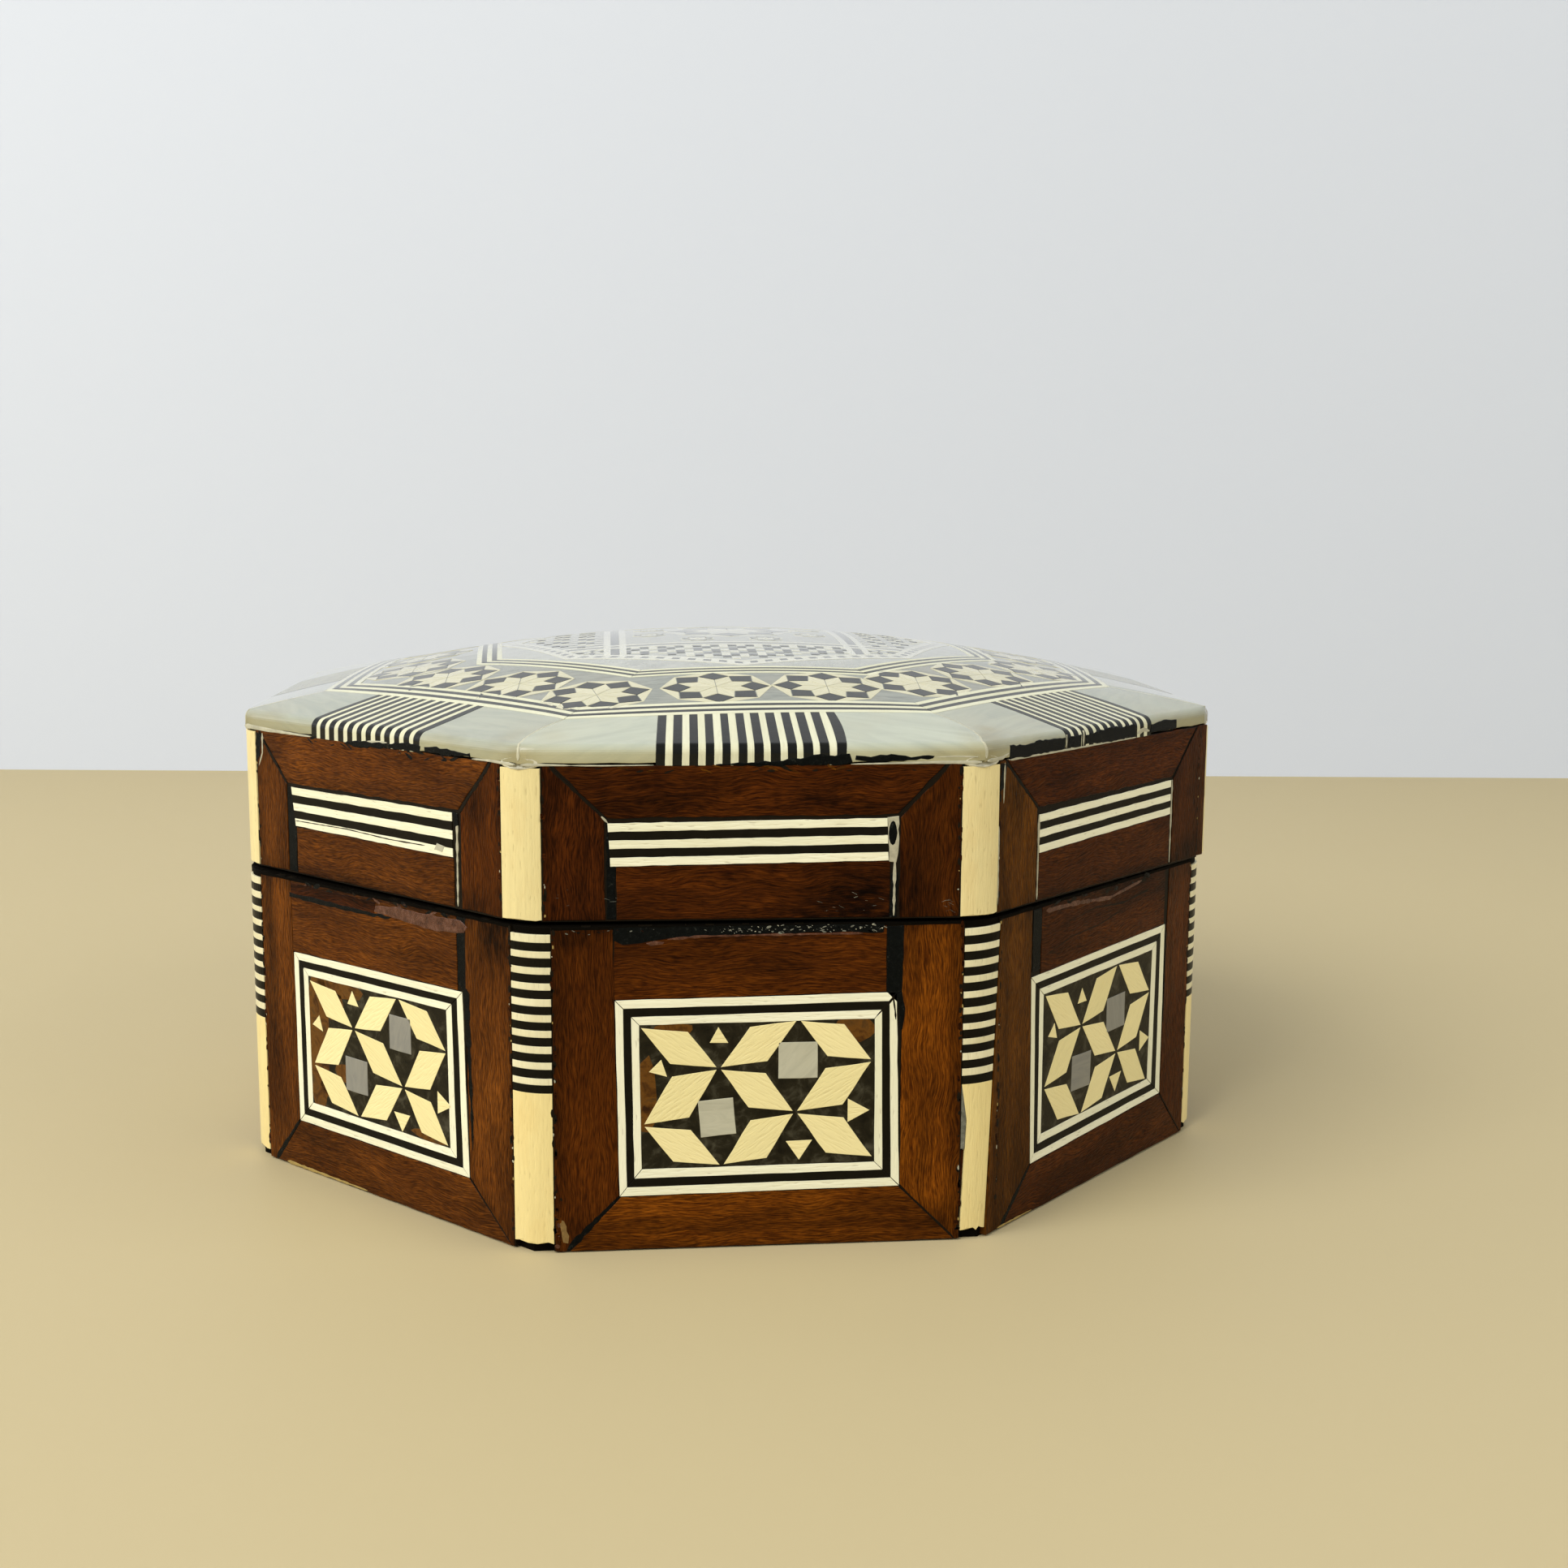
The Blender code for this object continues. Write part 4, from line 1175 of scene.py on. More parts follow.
def front_base_mends(piece, place):
    """Grime, chips and a worn patch on the front of the base."""
    band = [(-19.6, 43.5), (-18.4, 42.8), (-16.0, 43.0), (-12.0, 43.6), (-8.0, 43.9), (0.0, 44.0),
            (8.0, 44.1), (16.8, 43.9), (16.9, VENEER_TOP + 0.1), (-19.6, VENEER_TOP + 0.1)]
    cut_patch(piece, place, band, "filler", 0.01, 0.10, 1.4, 0.05)
    glue_line(piece, place, [(-12.4, 43.5), (-8.0, 43.85), (2.0, 43.9), (14.0, 43.9)], "repair", (0.35, 0.2),
              0.03, 0.6)
    scuffs(piece, place, (-27.0, 44.3), (-13.0, 45.1), 22, ("wood_dark", "filler", "filler_grey"),
           (0.15, 0.6), (0.2, 0.5), 0.03)
    scuffs(piece, place, (-8.0, 44.1), (17.0, 45.2), 110, ("filler_grey", "filler", "filler"), (0.15, 0.8),
           (0.2, 0.6), 0.04)
    scuffs(piece, place, (-6.0, 44.2), (17.0, 45.2), 50, ("glue", "filler_grey"), (0.08, 0.28), (0.4, 0.9),
           0.05)
    chip = [(-15.4, 43.0), (-14.2, 43.35), (-12.7, 43.2), (-13.0, 42.75), (-14.6, 42.6)]
    cut_patch(piece, place, chip, "repair", 0.03, 0.08, 0.8, 0.1)
    worn = [(-27.3, 4.9), (-26.5, 4.6), (-25.9, 2.4), (-26.0, 1.3), (-26.7, 1.5), (-27.0, 3.0)]
    cut_patch(piece, place, worn, "bare", 0.01, 0.10, 0.7, 0.05)
    corner = [(18.6, 35.3), (19.5, 35.6), (19.9, 33.4), (19.6, 30.4), (19.1, 30.2), (19.0, 33.0)]
    cut_patch(piece, place, corner, "filler", 0.01, 0.08, 0.8, 0.05)
    glue_line(piece, place, [(18.15, 35.3), (18.5, 33.0), (18.6, 31.8)], "bed", (0.35, 0.2), 0.015)
    glue_line(piece, place, [(16.0, 32.4), (18.4, 35.0)], "bed", (0.3, 0.35), 0.012)
    scuffs(piece, place, (-27.8, 1.0), (-26.9, 8.0), 12, ("repair", "wood_bright", "bed"), (0.3, 0.9),
           (0.6, 1.6))


def front_left_base_mends(piece, place):
    """Mends along the top of the base's front left side, and its long dark gap."""
    dark_part = [(-20.5, 43.0), (-4.0, 42.7), (-0.6, 42.6), (-0.2, 44.5), (-8.0, 44.6), (-20.4, 44.7)]
    cut_patch(piece, place, dark_part, "wood_dark", 0.03, 0.14, 1.2, 0.12)
    strip = [(-0.8, 43.0), (6.0, 42.4), (13.0, 42.1), (18.6, 42.7), (19.4, 43.7), (18.0, 44.5), (4.0, 44.4),
             (-0.4, 44.0)]
    cut_patch(piece, place, strip, "repair", 0.04, 0.14, 1.2, 0.12)
    line = [(-20.8, 42.4), (-6.0, 42.2), (2.5, 42.3), (3.2, 42.8), (-6.0, 43.0), (-20.8, 43.2)]
    cut_patch(piece, place, line, "filler", 0.05, 0.14, 1.2, 0.1)
    glue_line(piece, place, [(18.8, 35.0), (19.1, 28.0), (19.5, 18.0), (19.6, 12.0)], "filler", (1.3, 0.35),
              0.012)
    scuffs(piece, place, (-20.0, 44.4), (20.0, 45.1), 26, ("filler", "bed", "repair"), (0.3, 2.0))
    glue_line(piece, place, [(-23.5, 0.45), (-4.0, 0.4)], "wood_worn", (0.5, 0.25), 0.02)


def front_right_base_mends(piece, place):
    """Scratches and mends on the base's front right side."""
    glue_line(piece, place, [(-16.0, 44.2), (-8.0, 44.0), (2.0, 43.2), (12.0, 44.4)], "repair", (0.7, 0.4),
              0.02)
    glue_line(piece, place, [(-10.0, 41.6), (-2.0, 42.4), (6.0, 41.8), (14.0, 42.6)], "bed", (0.1, 0.35),
              0.01)
    glue_line(piece, place, [(-16.0, 37.6), (-9.0, 39.2), (-1.0, 39.6), (6.0, 40.8)], "bed", (0.12, 0.25),
              0.01)
    scuffs(piece, place, (-16.0, 44.3), (19.0, 45.0), 24, ("filler", "bed"), (0.3, 2.0))
    glue_line(piece, place, [(-27.0, 0.4), (-18.0, 0.4)], "wood_worn", (0.35, 0.2), 0.02)


BASE_MENDS = {"front": front_base_mends, "front_left": front_left_base_mends,
              "front_right": front_right_base_mends}


def base_repairs(piece, place, face, layout):
    """Fillers, chips and old repairs along the top of one base face."""
    saw_left, saw_right = layout.sawn_top
    fills = []
    if saw_right < RAIL_SHORT:
        fills.append([(saw_right + 0.1, 35.6), (19.5, 33.4), (19.7, VENEER_TOP - 0.2),
                      (saw_right + 0.1, VENEER_TOP - 0.3)])
    if saw_left > -RAIL_SHORT:
        fills.append([(-19.4, 36.0), (saw_left - 0.1, 36.0), (saw_left - 0.1, VENEER_TOP - 0.4),
                      (-19.5, VENEER_TOP - 0.3)])
    for fill in fills:
        cut_patch(piece, place, fill, "filler", -0.01, 0.15, 1.0, 0.05)
    if face in BASE_MENDS:
        BASE_MENDS[face](piece, place)


def build_base_faces():
    for side, face in enumerate(FACE_NAMES):
        layout = LAYOUTS.get(face) or hidden_layout(random.Random(face))
        panel_mosaic(side, face, layout)
        base_veneer(side, face, layout)


# The lid's sides

class LidLayout:
    """Where the strings and fillers of one lid face lie."""

    def __init__(self, band, ends, rail_ends, left_gap="bed", right_gap="bed", stile_edge=None):
        self.band = band
        self.stile_edge = stile_edge or band[0][0] - 0.3
        self.ends = ends
        self.rail_ends = rail_ends
        self.left_gap = left_gap
        self.right_gap = right_gap


LID_LAYOUTS = {
    "front": LidLayout([(-19.3, 59.15), (18.0, 59.6), (18.2, 53.85), (-19.0, 53.35)], (-27.1, 26.4),
                       (-18.2, 18.4), "filler", "glue"),
    "front_left": LidLayout([(-19.3, 58.9), (17.95, 59.2), (18.0, 53.0), (-18.4, 53.1)], (-27.6, 26.4),
                            (-18.2, 18.2), "filler", "glue", -20.3),
    "front_right": LidLayout([(-18.0, 58.35), (19.0, 59.2), (19.0, 53.9), (-17.8, 52.9)], (-26.8, 27.0),
                             (-18.0, 18.9), "glue", "glue"),
}
LID_STRINGS = ("string", "black", "string", "black", "string")
LID_BAND_EDGE = 19.6
LID_WOODS = {"front": ("wood_dark", "wood_plain", "wood", "wood"),
             "front_left": ("wood_amber", "wood_plain", "wood_amber", "wood_amber"),
             "front_right": ("wood_warm", "wood_cool", "wood", "wood_cool")}
PLAIN_LID_WOODS = ("wood_plain", "wood_plain", "wood", "wood")
# Darker spots on each lid side, as (x, z, half width, half height, strength): dirt, dark figure and a dark
# patch on the front's low rail, with painted shade along the foot just above the seam.
LID_DIRT_AND_SHADE = {
    "front": [(14.0, 49.0, 9.0, 4.5, 0.95), (9.0, 62.6, 3.6, 1.4, 0.75), (15.5, 61.0, 3.0, 1.0, 0.5),
              (13.5, 64.6, 2.5, 0.8, 0.5), (-13.0, 62.5, 9.0, 3.5, 0.5), (0.0, 61.0, 20.0, 0.8, 0.3),
              (-24.0, 65.0, 4.0, 2.0, 0.4), (21.0, 55.0, 1.2, 9.0, 0.5), (25.0, 60.0, 0.8, 6.0, 0.6),
              (-27.9, 56.0, 0.7, 12.0, 0.5), (28.0, 56.0, 0.7, 12.0, 0.6), (-20.4, 55.0, 0.8, 8.0, 0.4),
              (0.0, 46.0, 28.0, 0.8, 0.5), (-5.0, 53.0, 12.0, 0.8, 0.35)],
    "front_left": [(0.0, 60.2, 20.0, 0.7, 0.4), (-23.0, 64.0, 3.5, 2.0, 0.5), (23.0, 60.5, 2.0, 3.5, 0.7),
                   (27.8, 60.0, 0.8, 7.0, 0.6), (0.0, 46.3, 28.0, 1.2, 0.6), (-27.5, 55.0, 1.0, 12.0, 0.5),
                   (24.0, 47.5, 5.0, 2.5, 0.5)],
    "front_right": [(-24.0, 62.0, 2.0, 4.0, 0.7), (0.0, 46.3, 28.0, 1.0, 0.6), (24.0, 47.5, 4.0, 2.0, 0.8),
                    (-27.6, 55.0, 0.8, 12.0, 0.5), (27.5, 55.0, 1.0, 12.0, 0.4)],
}
PLAIN_LID_DIRT_AND_SHADE = [(0.0, 46.2, 28.0, 0.8, 0.5), (-27.8, 56.0, 0.8, 12.0, 0.5), (27.8, 56.0, 0.8, 12.0, 0.5)]


def lid_veneer(side, face, layout):
    """Stiles, rails, joints and the dark bed of one lid side."""
    piece = Piece(f"lid_veneer_{face}", "mahogany")
    piece.dirt_and_shade = soft_spots(LID_DIRT_AND_SHADE.get(face, PLAIN_LID_DIRT_AND_SHADE))
    place = lid_face(side)
    top, foot, half, gap = LID_SIDE_TOP + 0.1, LID_FOOT + SEAM_SHADOW, LID_HALF, 0.16
    piece.tile([(-half - 0.2, LID_FOOT + 0.05), (half + 0.2, LID_FOOT + 0.05), (half + 0.2, top),
                (-half - 0.2, top)], place, "bed", -BED, VENEER + 0.2)
    upper_left, upper_right, lower_right, lower_left = layout.band
    far_left, far_right = layout.ends
    bar_left, bar_right = layout.stile_edge, LID_BAND_EDGE
    above = max(upper_left[1], upper_right[1]) + 0.45
    left_stile, right_stile, rail, low_rail = LID_WOODS.get(face, PLAIN_LID_WOODS)
    veneer(piece, place, [((bar_left + 0.2, above - 0.2), (bar_right - 0.3, above + 0.05)),
                          ((far_left + 0.6, top - 0.05), (far_right - 0.7, top - 0.05))], rail, 0.0, 0.1, 1.6,
           0.08)
    inner = [(bar_left - gap, foot), (bar_left - gap, above - 0.4), (far_left, top)]
    veneer(piece, place, [((-half, z), (x, z)) for x, z in inner], left_stile, math.pi / 2, 0.08, 2.0, 0.08)
    cover = COVER if (side + 1) % SIDES == COVERED_SLIP else 0.0
    inner = [(bar_right + gap, foot), (bar_right + gap, above - 0.3), (far_right + 0.1, top)]
    veneer(piece, place, [((x, z), (half + cover, z)) for x, z in inner], right_stile, math.pi / 2, 0.08, 2.0,
           0.08)
    veneer(piece, place, [((layout.rail_ends[0], foot), (layout.rail_ends[1], foot)),
                          ((layout.rail_ends[0], lower_left[1] - 0.12),
                           (layout.rail_ends[1], lower_right[1] - 0.12))],
           low_rail, 0.0, 0.06, 2.0, 0.08)
    for end, other, finish, low in ((bar_left, layout.rail_ends[0], layout.left_gap, upper_left[1]),
                                    (bar_right, layout.rail_ends[1], layout.right_gap, upper_right[1])):
        near, far = sorted((end, other))
        if finish == "bed":
            continue
        if finish == "glue":
            middle = (near + far) / 2
            glue_line(piece, place, [(middle, foot + 0.2), (middle + 0.1, low)], "glue", (0.3, 0.45), 0.01,
                      0.5)
            continue
        outline = [(near + 0.1, foot + 0.1), (far - 0.1, foot + 0.1), (far - 0.1, low), (near + 0.1, low)]
        cut_patch(piece, place, outline, finish, -0.03, 0.14, 1.0, 0.05)
    glue_line(piece, place, [(far_left + 0.2, top - 0.3), (bar_left, above - 0.3)], "bed", (0.35, 0.5), 0.012,
              0.5)
    widths = (0.12, 0.12) if face == "front_right" else (0.55, 0.6)
    glue_line(piece, place, [(far_right - 0.3, top - 0.2), (bar_right, above - 0.2)], "bed", widths, 0.012,
              0.5)
    if face in LID_MENDS:
        LID_MENDS[face](piece, place)
    worn_edges(piece, place, half - 0.1, foot + 0.5, top - 0.5, 16)
    piece.done()


def front_lid_mends(piece, place):
    """The glue, the dark oval and the scratches on the lid's front."""
    patch = [(18.0, 59.7), (19.5, 59.9), (19.6, 56.0), (19.3, 53.6), (18.3, 53.7)]
    cut_patch(piece, place, patch, "glue", 0.0, 0.08, 0.9, 0.06)
    oval = [(18.75 + 0.62 * math.cos(k * math.tau / 12), 57.6 + 1.7 * math.sin(k * math.tau / 12))
            for k in range(12)]
    cut_patch(piece, place, oval, "filler", 0.03, 0.06, 0.8, 0.08)
    low = [(18.5, 46.0), (19.4, 46.0), (19.5, 52.2), (18.6, 52.0)]
    cut_patch(piece, place, low, "filler", 0.0, 0.1, 1.0, 0.05)
    scuffs(piece, place, (9.0, 46.9), (17.5, 49.4), 11, ("filler_grey", "glue"), (0.15, 1.1), (0.03, 0.07),
           0.006)
    scuffs(piece, place, (20.5, 46.8), (27.5, 48.4), 8, ("filler_grey",), (0.3, 1.5), (0.03, 0.05), 0.006)
    scuffs(piece, place, (-27.5, 48.0), (-18.0, 50.5), 7, ("filler_grey",), (0.2, 1.2), (0.03, 0.07), 0.006)
    scuffs(piece, place, (-20.4, 66.0), (24.0, 66.8), 26, ("bed", "wood_warm"), (0.4, 2.4), (0.12, 0.3))
    piece.bead(walk([(-20.2, 60.2), (-19.3, 59.2)], 0.4), place, "glue", (0.5, 0.3), 0.02)


def front_left_lid_mends(piece, place):
    """The crack, the chips and the fillers on the lid's front left side."""
    crack = [(-18.6, 53.9), (-6.0, 54.1), (4.0, 53.8), (12.0, 53.9)]
    glue_line(piece, place, crack, "bed", (0.12, 0.18), 0.012)
    spot = [(14.0, 53.6), (15.8, 53.4), (16.3, 54.3), (14.6, 54.6)]
    cut_patch(piece, place, spot, "glaze", 0.03, 0.06, 0.6, 0.06)
    bump_right = [(18.0, 59.4), (19.2, 59.2), (19.3, 57.6), (18.4, 57.2)]
    cut_patch(piece, place, bump_right, "filler", 0.02, 0.06, 0.6, 0.06)
    left = [(-28.1, 62.0), (-26.9, 62.8), (-26.6, 66.2), (-28.0, 66.6)]
    cut_patch(piece, place, left, "filler", 0.02, 0.12, 0.9, 0.08)
    glue_line(piece, place, [(-27.4, 61.4), (-26.4, 63.4), (-26.3, 66.4)], "glue", (0.3, 0.5), 0.05)
    scuffs(piece, place, (-20.0, 66.0), (24.0, 66.8), 24, ("bed", "filler"), (0.4, 2.2), (0.12, 0.3))


def front_right_lid_mends(piece, place):
    """The filler and the glue lines on the lid's front right side."""
    left = [(-28.0, 62.6), (-27.0, 63.0), (-26.2, 66.4), (-27.9, 66.6)]
    cut_patch(piece, place, left, "filler", 0.02, 0.12, 0.9, 0.08)
    glue_line(piece, place, [(-27.0, 61.0), (-26.9, 66.6)], "glue", (0.25, 0.5), 0.04)
    glue_line(piece, place, [(-27.9, 47.0), (-28.0, 58.0)], "glue", (0.2, 0.25), 0.03, 0.7)


LID_MENDS = {"front": front_lid_mends, "front_left": front_left_lid_mends,
             "front_right": front_right_lid_mends}


def lid_band(side, face, layout):
    """The five strings of one lid side."""
    piece = Piece(f"lid_strings_{face}", "stringing", f"lid_string_band_{face}")
    place = lid_face(side)
    upper_left, upper_right, lower_right, lower_left = layout.band
    count = len(LID_STRINGS)
    for row, finish in enumerate(LID_STRINGS):
        start = [lerp(upper_left, lower_left, (row + k) / count) for k in (0, 1)]
        end = [lerp(upper_right, lower_right, (row + k) / count) for k in (0, 1)]
        outline = [start[0], end[0], end[1], start[1]]
        piece.tile(hand_cut(outline, piece.rng, 0.055, 1.8), place, finish, 0.0, 0.6, 0.0, 0.03)
    piece.done()


def build_lid_faces():
    for side, face in enumerate(FACE_NAMES):
        rng = random.Random("lid " + face)
        plain = LidLayout([(-19.2, 59.0 + rng.uniform(-0.3, 0.3)), (18.9, 59.3 + rng.uniform(-0.3, 0.3)),
                           (18.9, 53.5), (-19.1, 53.4)], (-27.0, 26.8), (-19.1, 18.9), "bed", "glue")
        layout = LID_LAYOUTS.get(face) or plain
        lid_veneer(side, face, layout)
        lid_band(side, face, layout)


# The lid's shoulder: pearl plates and striped patches

PATCH_EDGES = {"front": (-12.9, 12.3), "front_left": (-13.7, 11.2), "front_right": (-11.6, 12.2)}
PLAIN_PATCH = (-12.6, 12.6)
PATCH_BLACKS = 12
PATCH_BLACK = 1.22
PLATE_COLUMNS = (0.0, 0.15, 0.32, 0.5, 0.66, 0.8, 0.88, 0.93, 0.965, 0.985, 1.0)
EDGE_LEVELS = (0.0, 0.12, 0.35, 0.7, 1.0)
TOP_STEPS = 6
FLAT_REACH = LID_REACH - EDGE_ROUND
# How far the joint between two plates bows off a straight line, at each corner
JOINT_BOW = {0: -0.7, 1: 1.3}
PLAIN_BOW = 0.3
JOINT_HALF = 0.10


def side_view(side, point):
    """A point of the lid's plan as its place along one side and its reach there."""
    angle = FRONT + side * STEP
    cos, sin = math.cos(angle), math.sin(angle)
    return point[1] * cos - point[0] * sin, point[0] * cos + point[1] * sin


def ring_edge(side):
    """The line of the outermost string along one side, as its two ends."""
    corners = ring_corners(OUTER_RING[0], 0.0, OUTER_CORNERS_OFF)
    return side_view(side, corners[side]), side_view(side, corners[(side + 1) % SIDES])


def ring_reach(ends, x):
    return ends[0][1] + (ends[1][1] - ends[0][1]) * (x - ends[0][0]) / (ends[1][0] - ends[0][0])


def joint_point(corner, share):
    """A point of the joint between two plates, from the lid's corner to the corner of the strings."""
    angle = FRONT - HALF + corner * STEP
    end = ring_corners(OUTER_RING[0], 0.0, OUTER_CORNERS_OFF)[corner]
    x, y = lerp(octagon(LID_REACH)[corner], end, share)
    bow = JOINT_BOW.get(corner, PLAIN_BOW) * math.sin(math.pi * share)
    return x - math.sin(angle) * bow, y + math.cos(angle) * bow


def foot_line(x, side):
    """How far the hand-cut foot of a plate rises above its line."""
    return 0.10 + 0.09 * math.sin(0.9 * x + side) + 0.05 * math.sin(3.1 * x + 2 * side)


def joint_at(side, hand, level):
    """The end of a plate at one level, as (x, along).

    Levels go from 0 to 1 up the edge, to 2 over it and to 3 inwards.
    """
    corner = (side + (hand > 0)) % SIDES
    if level <= 2:
        along = along_at(level)
        return hand * shoulder_point(along)[0] * math.tan(HALF), along
    ring = ring_edge(side)[hand > 0][1]
    share = (EDGE_ROUND + (level - 2) * (FLAT_REACH - ring)) / (LID_REACH - ring)
    x, reach = side_view(side, joint_point(corner, share))
    return x, TOP_START + FLAT_REACH - reach


def along_at(level):
    return EDGE_LENGTH * level if level <= 1 else EDGE_LENGTH + ARC_LENGTH * (level - 1)


def shoulder_along(ends, x, level):
    if level <= 2:
        return along_at(level)
    return TOP_START + (level - 2) * (FLAT_REACH - ring_reach(ends, x))


LEVELS = [*EDGE_LEVELS, *(1 + (k + 1) / ROUND_STEPS for k in range(ROUND_STEPS)),
          *(2 + (k + 1) / TOP_STEPS for k in range(TOP_STEPS))]


# Old varnish and grime on the plates, as soft spots of (x, distance up from the foot, ...)
PLAIN_STAINS = [(-31.0, 1.0, 2.5, 1.6, 0.5), (31.0, 1.0, 2.5, 1.6, 0.5), (0.0, 0.0, 40.0, 0.5, 0.45)]
PLATE_STAINS = {
    "front": [(29.5, 4.5, 1.6, 3.5, 0.35), (25.5, 1.3, 3.0, 1.0, 0.45), (-27.0, 6.0, 2.0, 3.0, 0.25)],
    "front_right": [(-28.0, 4.0, 3.0, 2.2, 0.75), (-24.5, 6.5, 2.0, 1.4, 0.6), (-20.0, 2.4, 4.0, 1.0, 0.4),
                    (15.0, 3.0, 4.0, 1.5, 0.3)],
    "front_left": [(27.0, 5.0, 2.2, 3.0, 0.35), (16.0, 2.3, 4.0, 1.0, 0.35), (-24.0, 3.0, 3.0, 1.5, 0.3)],
}
LEAN_LEFT = 0.5
LEAN_RIGHT = -0.4
LAST_BOW = 0.45


def patch_x(x, edges, share):
    """Where a line of the striped patch lies, from the foot (share 0) to the strings (share 1)."""
    across = (x - edges[0]) / (edges[1] - edges[0])
    bow = LAST_BOW * math.sin(math.pi * share) * max(0.0, PATCH_BLACKS * (across - 1) + 1)
    return x + share * (LEAN_LEFT + (LEAN_RIGHT - LEAN_LEFT) * across) + bow


def pearl_plate(side, face, hand, name, edges):
    """One pearl plate of the shoulder, from its foot up and in."""
    piece = Piece(f"lid_plate_{name}_{face}", "mother_of_pearl", f"lid_shell_{name}_{face}")
    piece.dirt_and_shade = soft_spots(PLATE_STAINS.get(face, []) + PLAIN_STAINS)
    place = shoulder_place(side)
    ends = ring_edge(side)
    rows = []
    for level in LEVELS:
        edge_x = edges[hand > 0]
        along = shoulder_along(ends, edge_x, level)
        edge_x = patch_x(edge_x, edges, along / SHOULDER_LENGTH) + hand * 0.03
        near = (edge_x, shoulder_along(ends, edge_x, level))
        x, along = joint_at(side, hand, level)
        row = [lerp(near, (x - hand * JOINT_HALF, along), share) for share in PLATE_COLUMNS]
        if level == 0:
            row = [(a, b + foot_line(a, side)) for a, b in row]
        rows.append(row)
    # Plates off the front take the darker pearl copy, painted shade.
    piece.sheet(rows, place, "pearl" if face == "front" else "pearl_side", -RECESS, 1.2,
                piece.rng.uniform(-0.5, 0.5), 0.05)
    if hand > 0:
        path = [joint_at(side, hand, level) for level in LEVELS if level > 0.3]
        piece.bead(path, place, "joint", (0.42, 0.22), -0.05, 0.2)
    piece.done()


def striped_patch(side, face, edges):
    """The black and pale strips between the two plates of one side."""
    piece = Piece(f"lid_stripes_{face}", "base_mosaic", f"lid_striped_patch_{face}")
    place = shoulder_place(side)
    ends = ring_edge(side)
    pale = (edges[1] - edges[0] - PATCH_BLACKS * PATCH_BLACK) / (PATCH_BLACKS - 1)
    strips = 2 * PATCH_BLACKS - 1
    lines = [edges[0]]
    for index in range(strips):
        lines.append(lines[-1] + (pale if index % 2 else PATCH_BLACK))
    lines = [lines[0], *(x + piece.rng.uniform(-0.07, 0.07) for x in lines[1:-1]), lines[-1]]
    for index in range(strips):
        rows = []
        for level in LEVELS:
            row = []
            for x in lines[index:index + 2]:
                along = shoulder_along(ends, x, level)
                x = patch_x(x, edges, along / SHOULDER_LENGTH)
                row.append((x, shoulder_along(ends, x, level) - (0.28 if level == 0 else 0.0)))
            rows.append(row)
        finish = "string_top" if index % 2 else "black_edge"
        piece.sheet(rows, place, finish, -RECESS + 0.01, 1.2, math.pi / 2, 0.035)
    piece.done()


# Dark filler where a plate's or a patch's foot has broken away, as outlines of (x, z) on the lid's sides
EDGE_FILLERS = {
    "front": ([(-5.0, 66.85), (0.0, 66.7), (6.5, 66.7), (12.4, 66.85), (13.2, 67.3), (12.8, 68.4),
               (10.8, 68.1), (9.0, 68.3), (7.0, 67.9), (3.0, 67.4), (-1.0, 67.2), (-5.0, 67.0)],
              [(13.6, 67.5), (16.0, 67.2), (20.0, 67.3), (24.0, 67.6), (24.2, 68.0), (21.0, 67.85),
               (18.4, 68.2), (15.6, 67.9), (13.7, 68.1)]),
    "front_left": ([(-6.0, 66.5), (-2.0, 66.3), (1.0, 66.6), (4.0, 66.7), (4.0, 67.5), (0.0, 67.4),
                    (-5.0, 67.1)],
                   [(4.4, 66.8), (11.4, 66.9), (11.6, 67.8), (8.8, 68.15), (6.0, 67.8), (4.4, 67.5)],
                   [(12.4, 67.0), (17.0, 66.9), (22.2, 67.2), (22.0, 67.7), (18.0, 67.75), (14.4, 68.0),
                    (12.4, 67.7)]),
    "front_right": ([(-25.9, 66.9), (-18.0, 66.9), (-11.9, 67.0), (-11.8, 68.6), (-17.0, 68.9), (-22.0, 68.5),
                     (-25.7, 68.9)],
                    [(-11.0, 67.1), (-7.6, 67.0), (-7.5, 68.7), (-10.9, 68.6)],
                    [(-6.5, 67.1), (0.0, 66.9), (7.7, 67.1), (7.8, 68.8), (0.0, 69.0), (-6.4, 68.5)],
                    [(12.0, 67.1), (20.0, 67.2), (20.0, 68.6), (16.0, 68.9), (12.1, 68.5)]),
}
# Pale glue squeezed out under the plates, as a path and the width at its two ends
EDGE_GLUE = {
    "front": (([(-30.6, 67.0), (-28.0, 67.0), (-24.0, 66.9)], (0.5, 0.15)),
              ([(-24.0, 66.9), (-20.0, 66.85), (-13.2, 66.9)], (0.2, 0.12)),
              ([(13.0, 66.9), (24.0, 67.1), (30.6, 67.1)], (0.15, 0.5)),
              ([(24.4, 67.8), (27.0, 67.9), (30.0, 67.8)], (0.12, 0.25))),
    "front_left": (([(22.4, 67.0), (26.0, 67.1), (30.8, 67.0)], (0.2, 0.5)),
                   ([(-1.0, 67.3), (2.0, 67.5), (4.2, 67.6)], (0.5, 0.4)),
                   ([(-30.8, 67.2), (-24.0, 67.0), (-14.0, 66.9)], (0.8, 0.2))),
    "front_right": (([(-30.8, 67.2), (-27.5, 67.3), (-26.0, 67.8)], (0.6, 0.4)),
                    ([(-26.0, 66.9), (-10.0, 66.85), (8.0, 66.9)], (0.4, 0.2)),
                    ([(-11.5, 66.9), (-11.4, 69.0)], (0.3, 0.3)), ([(-7.0, 66.9), (-6.9, 69.2)], (0.4, 0.5)),
                    ([(8.0, 67.4), (10.0, 67.9), (11.8, 67.5)], (0.9, 0.6))),
}
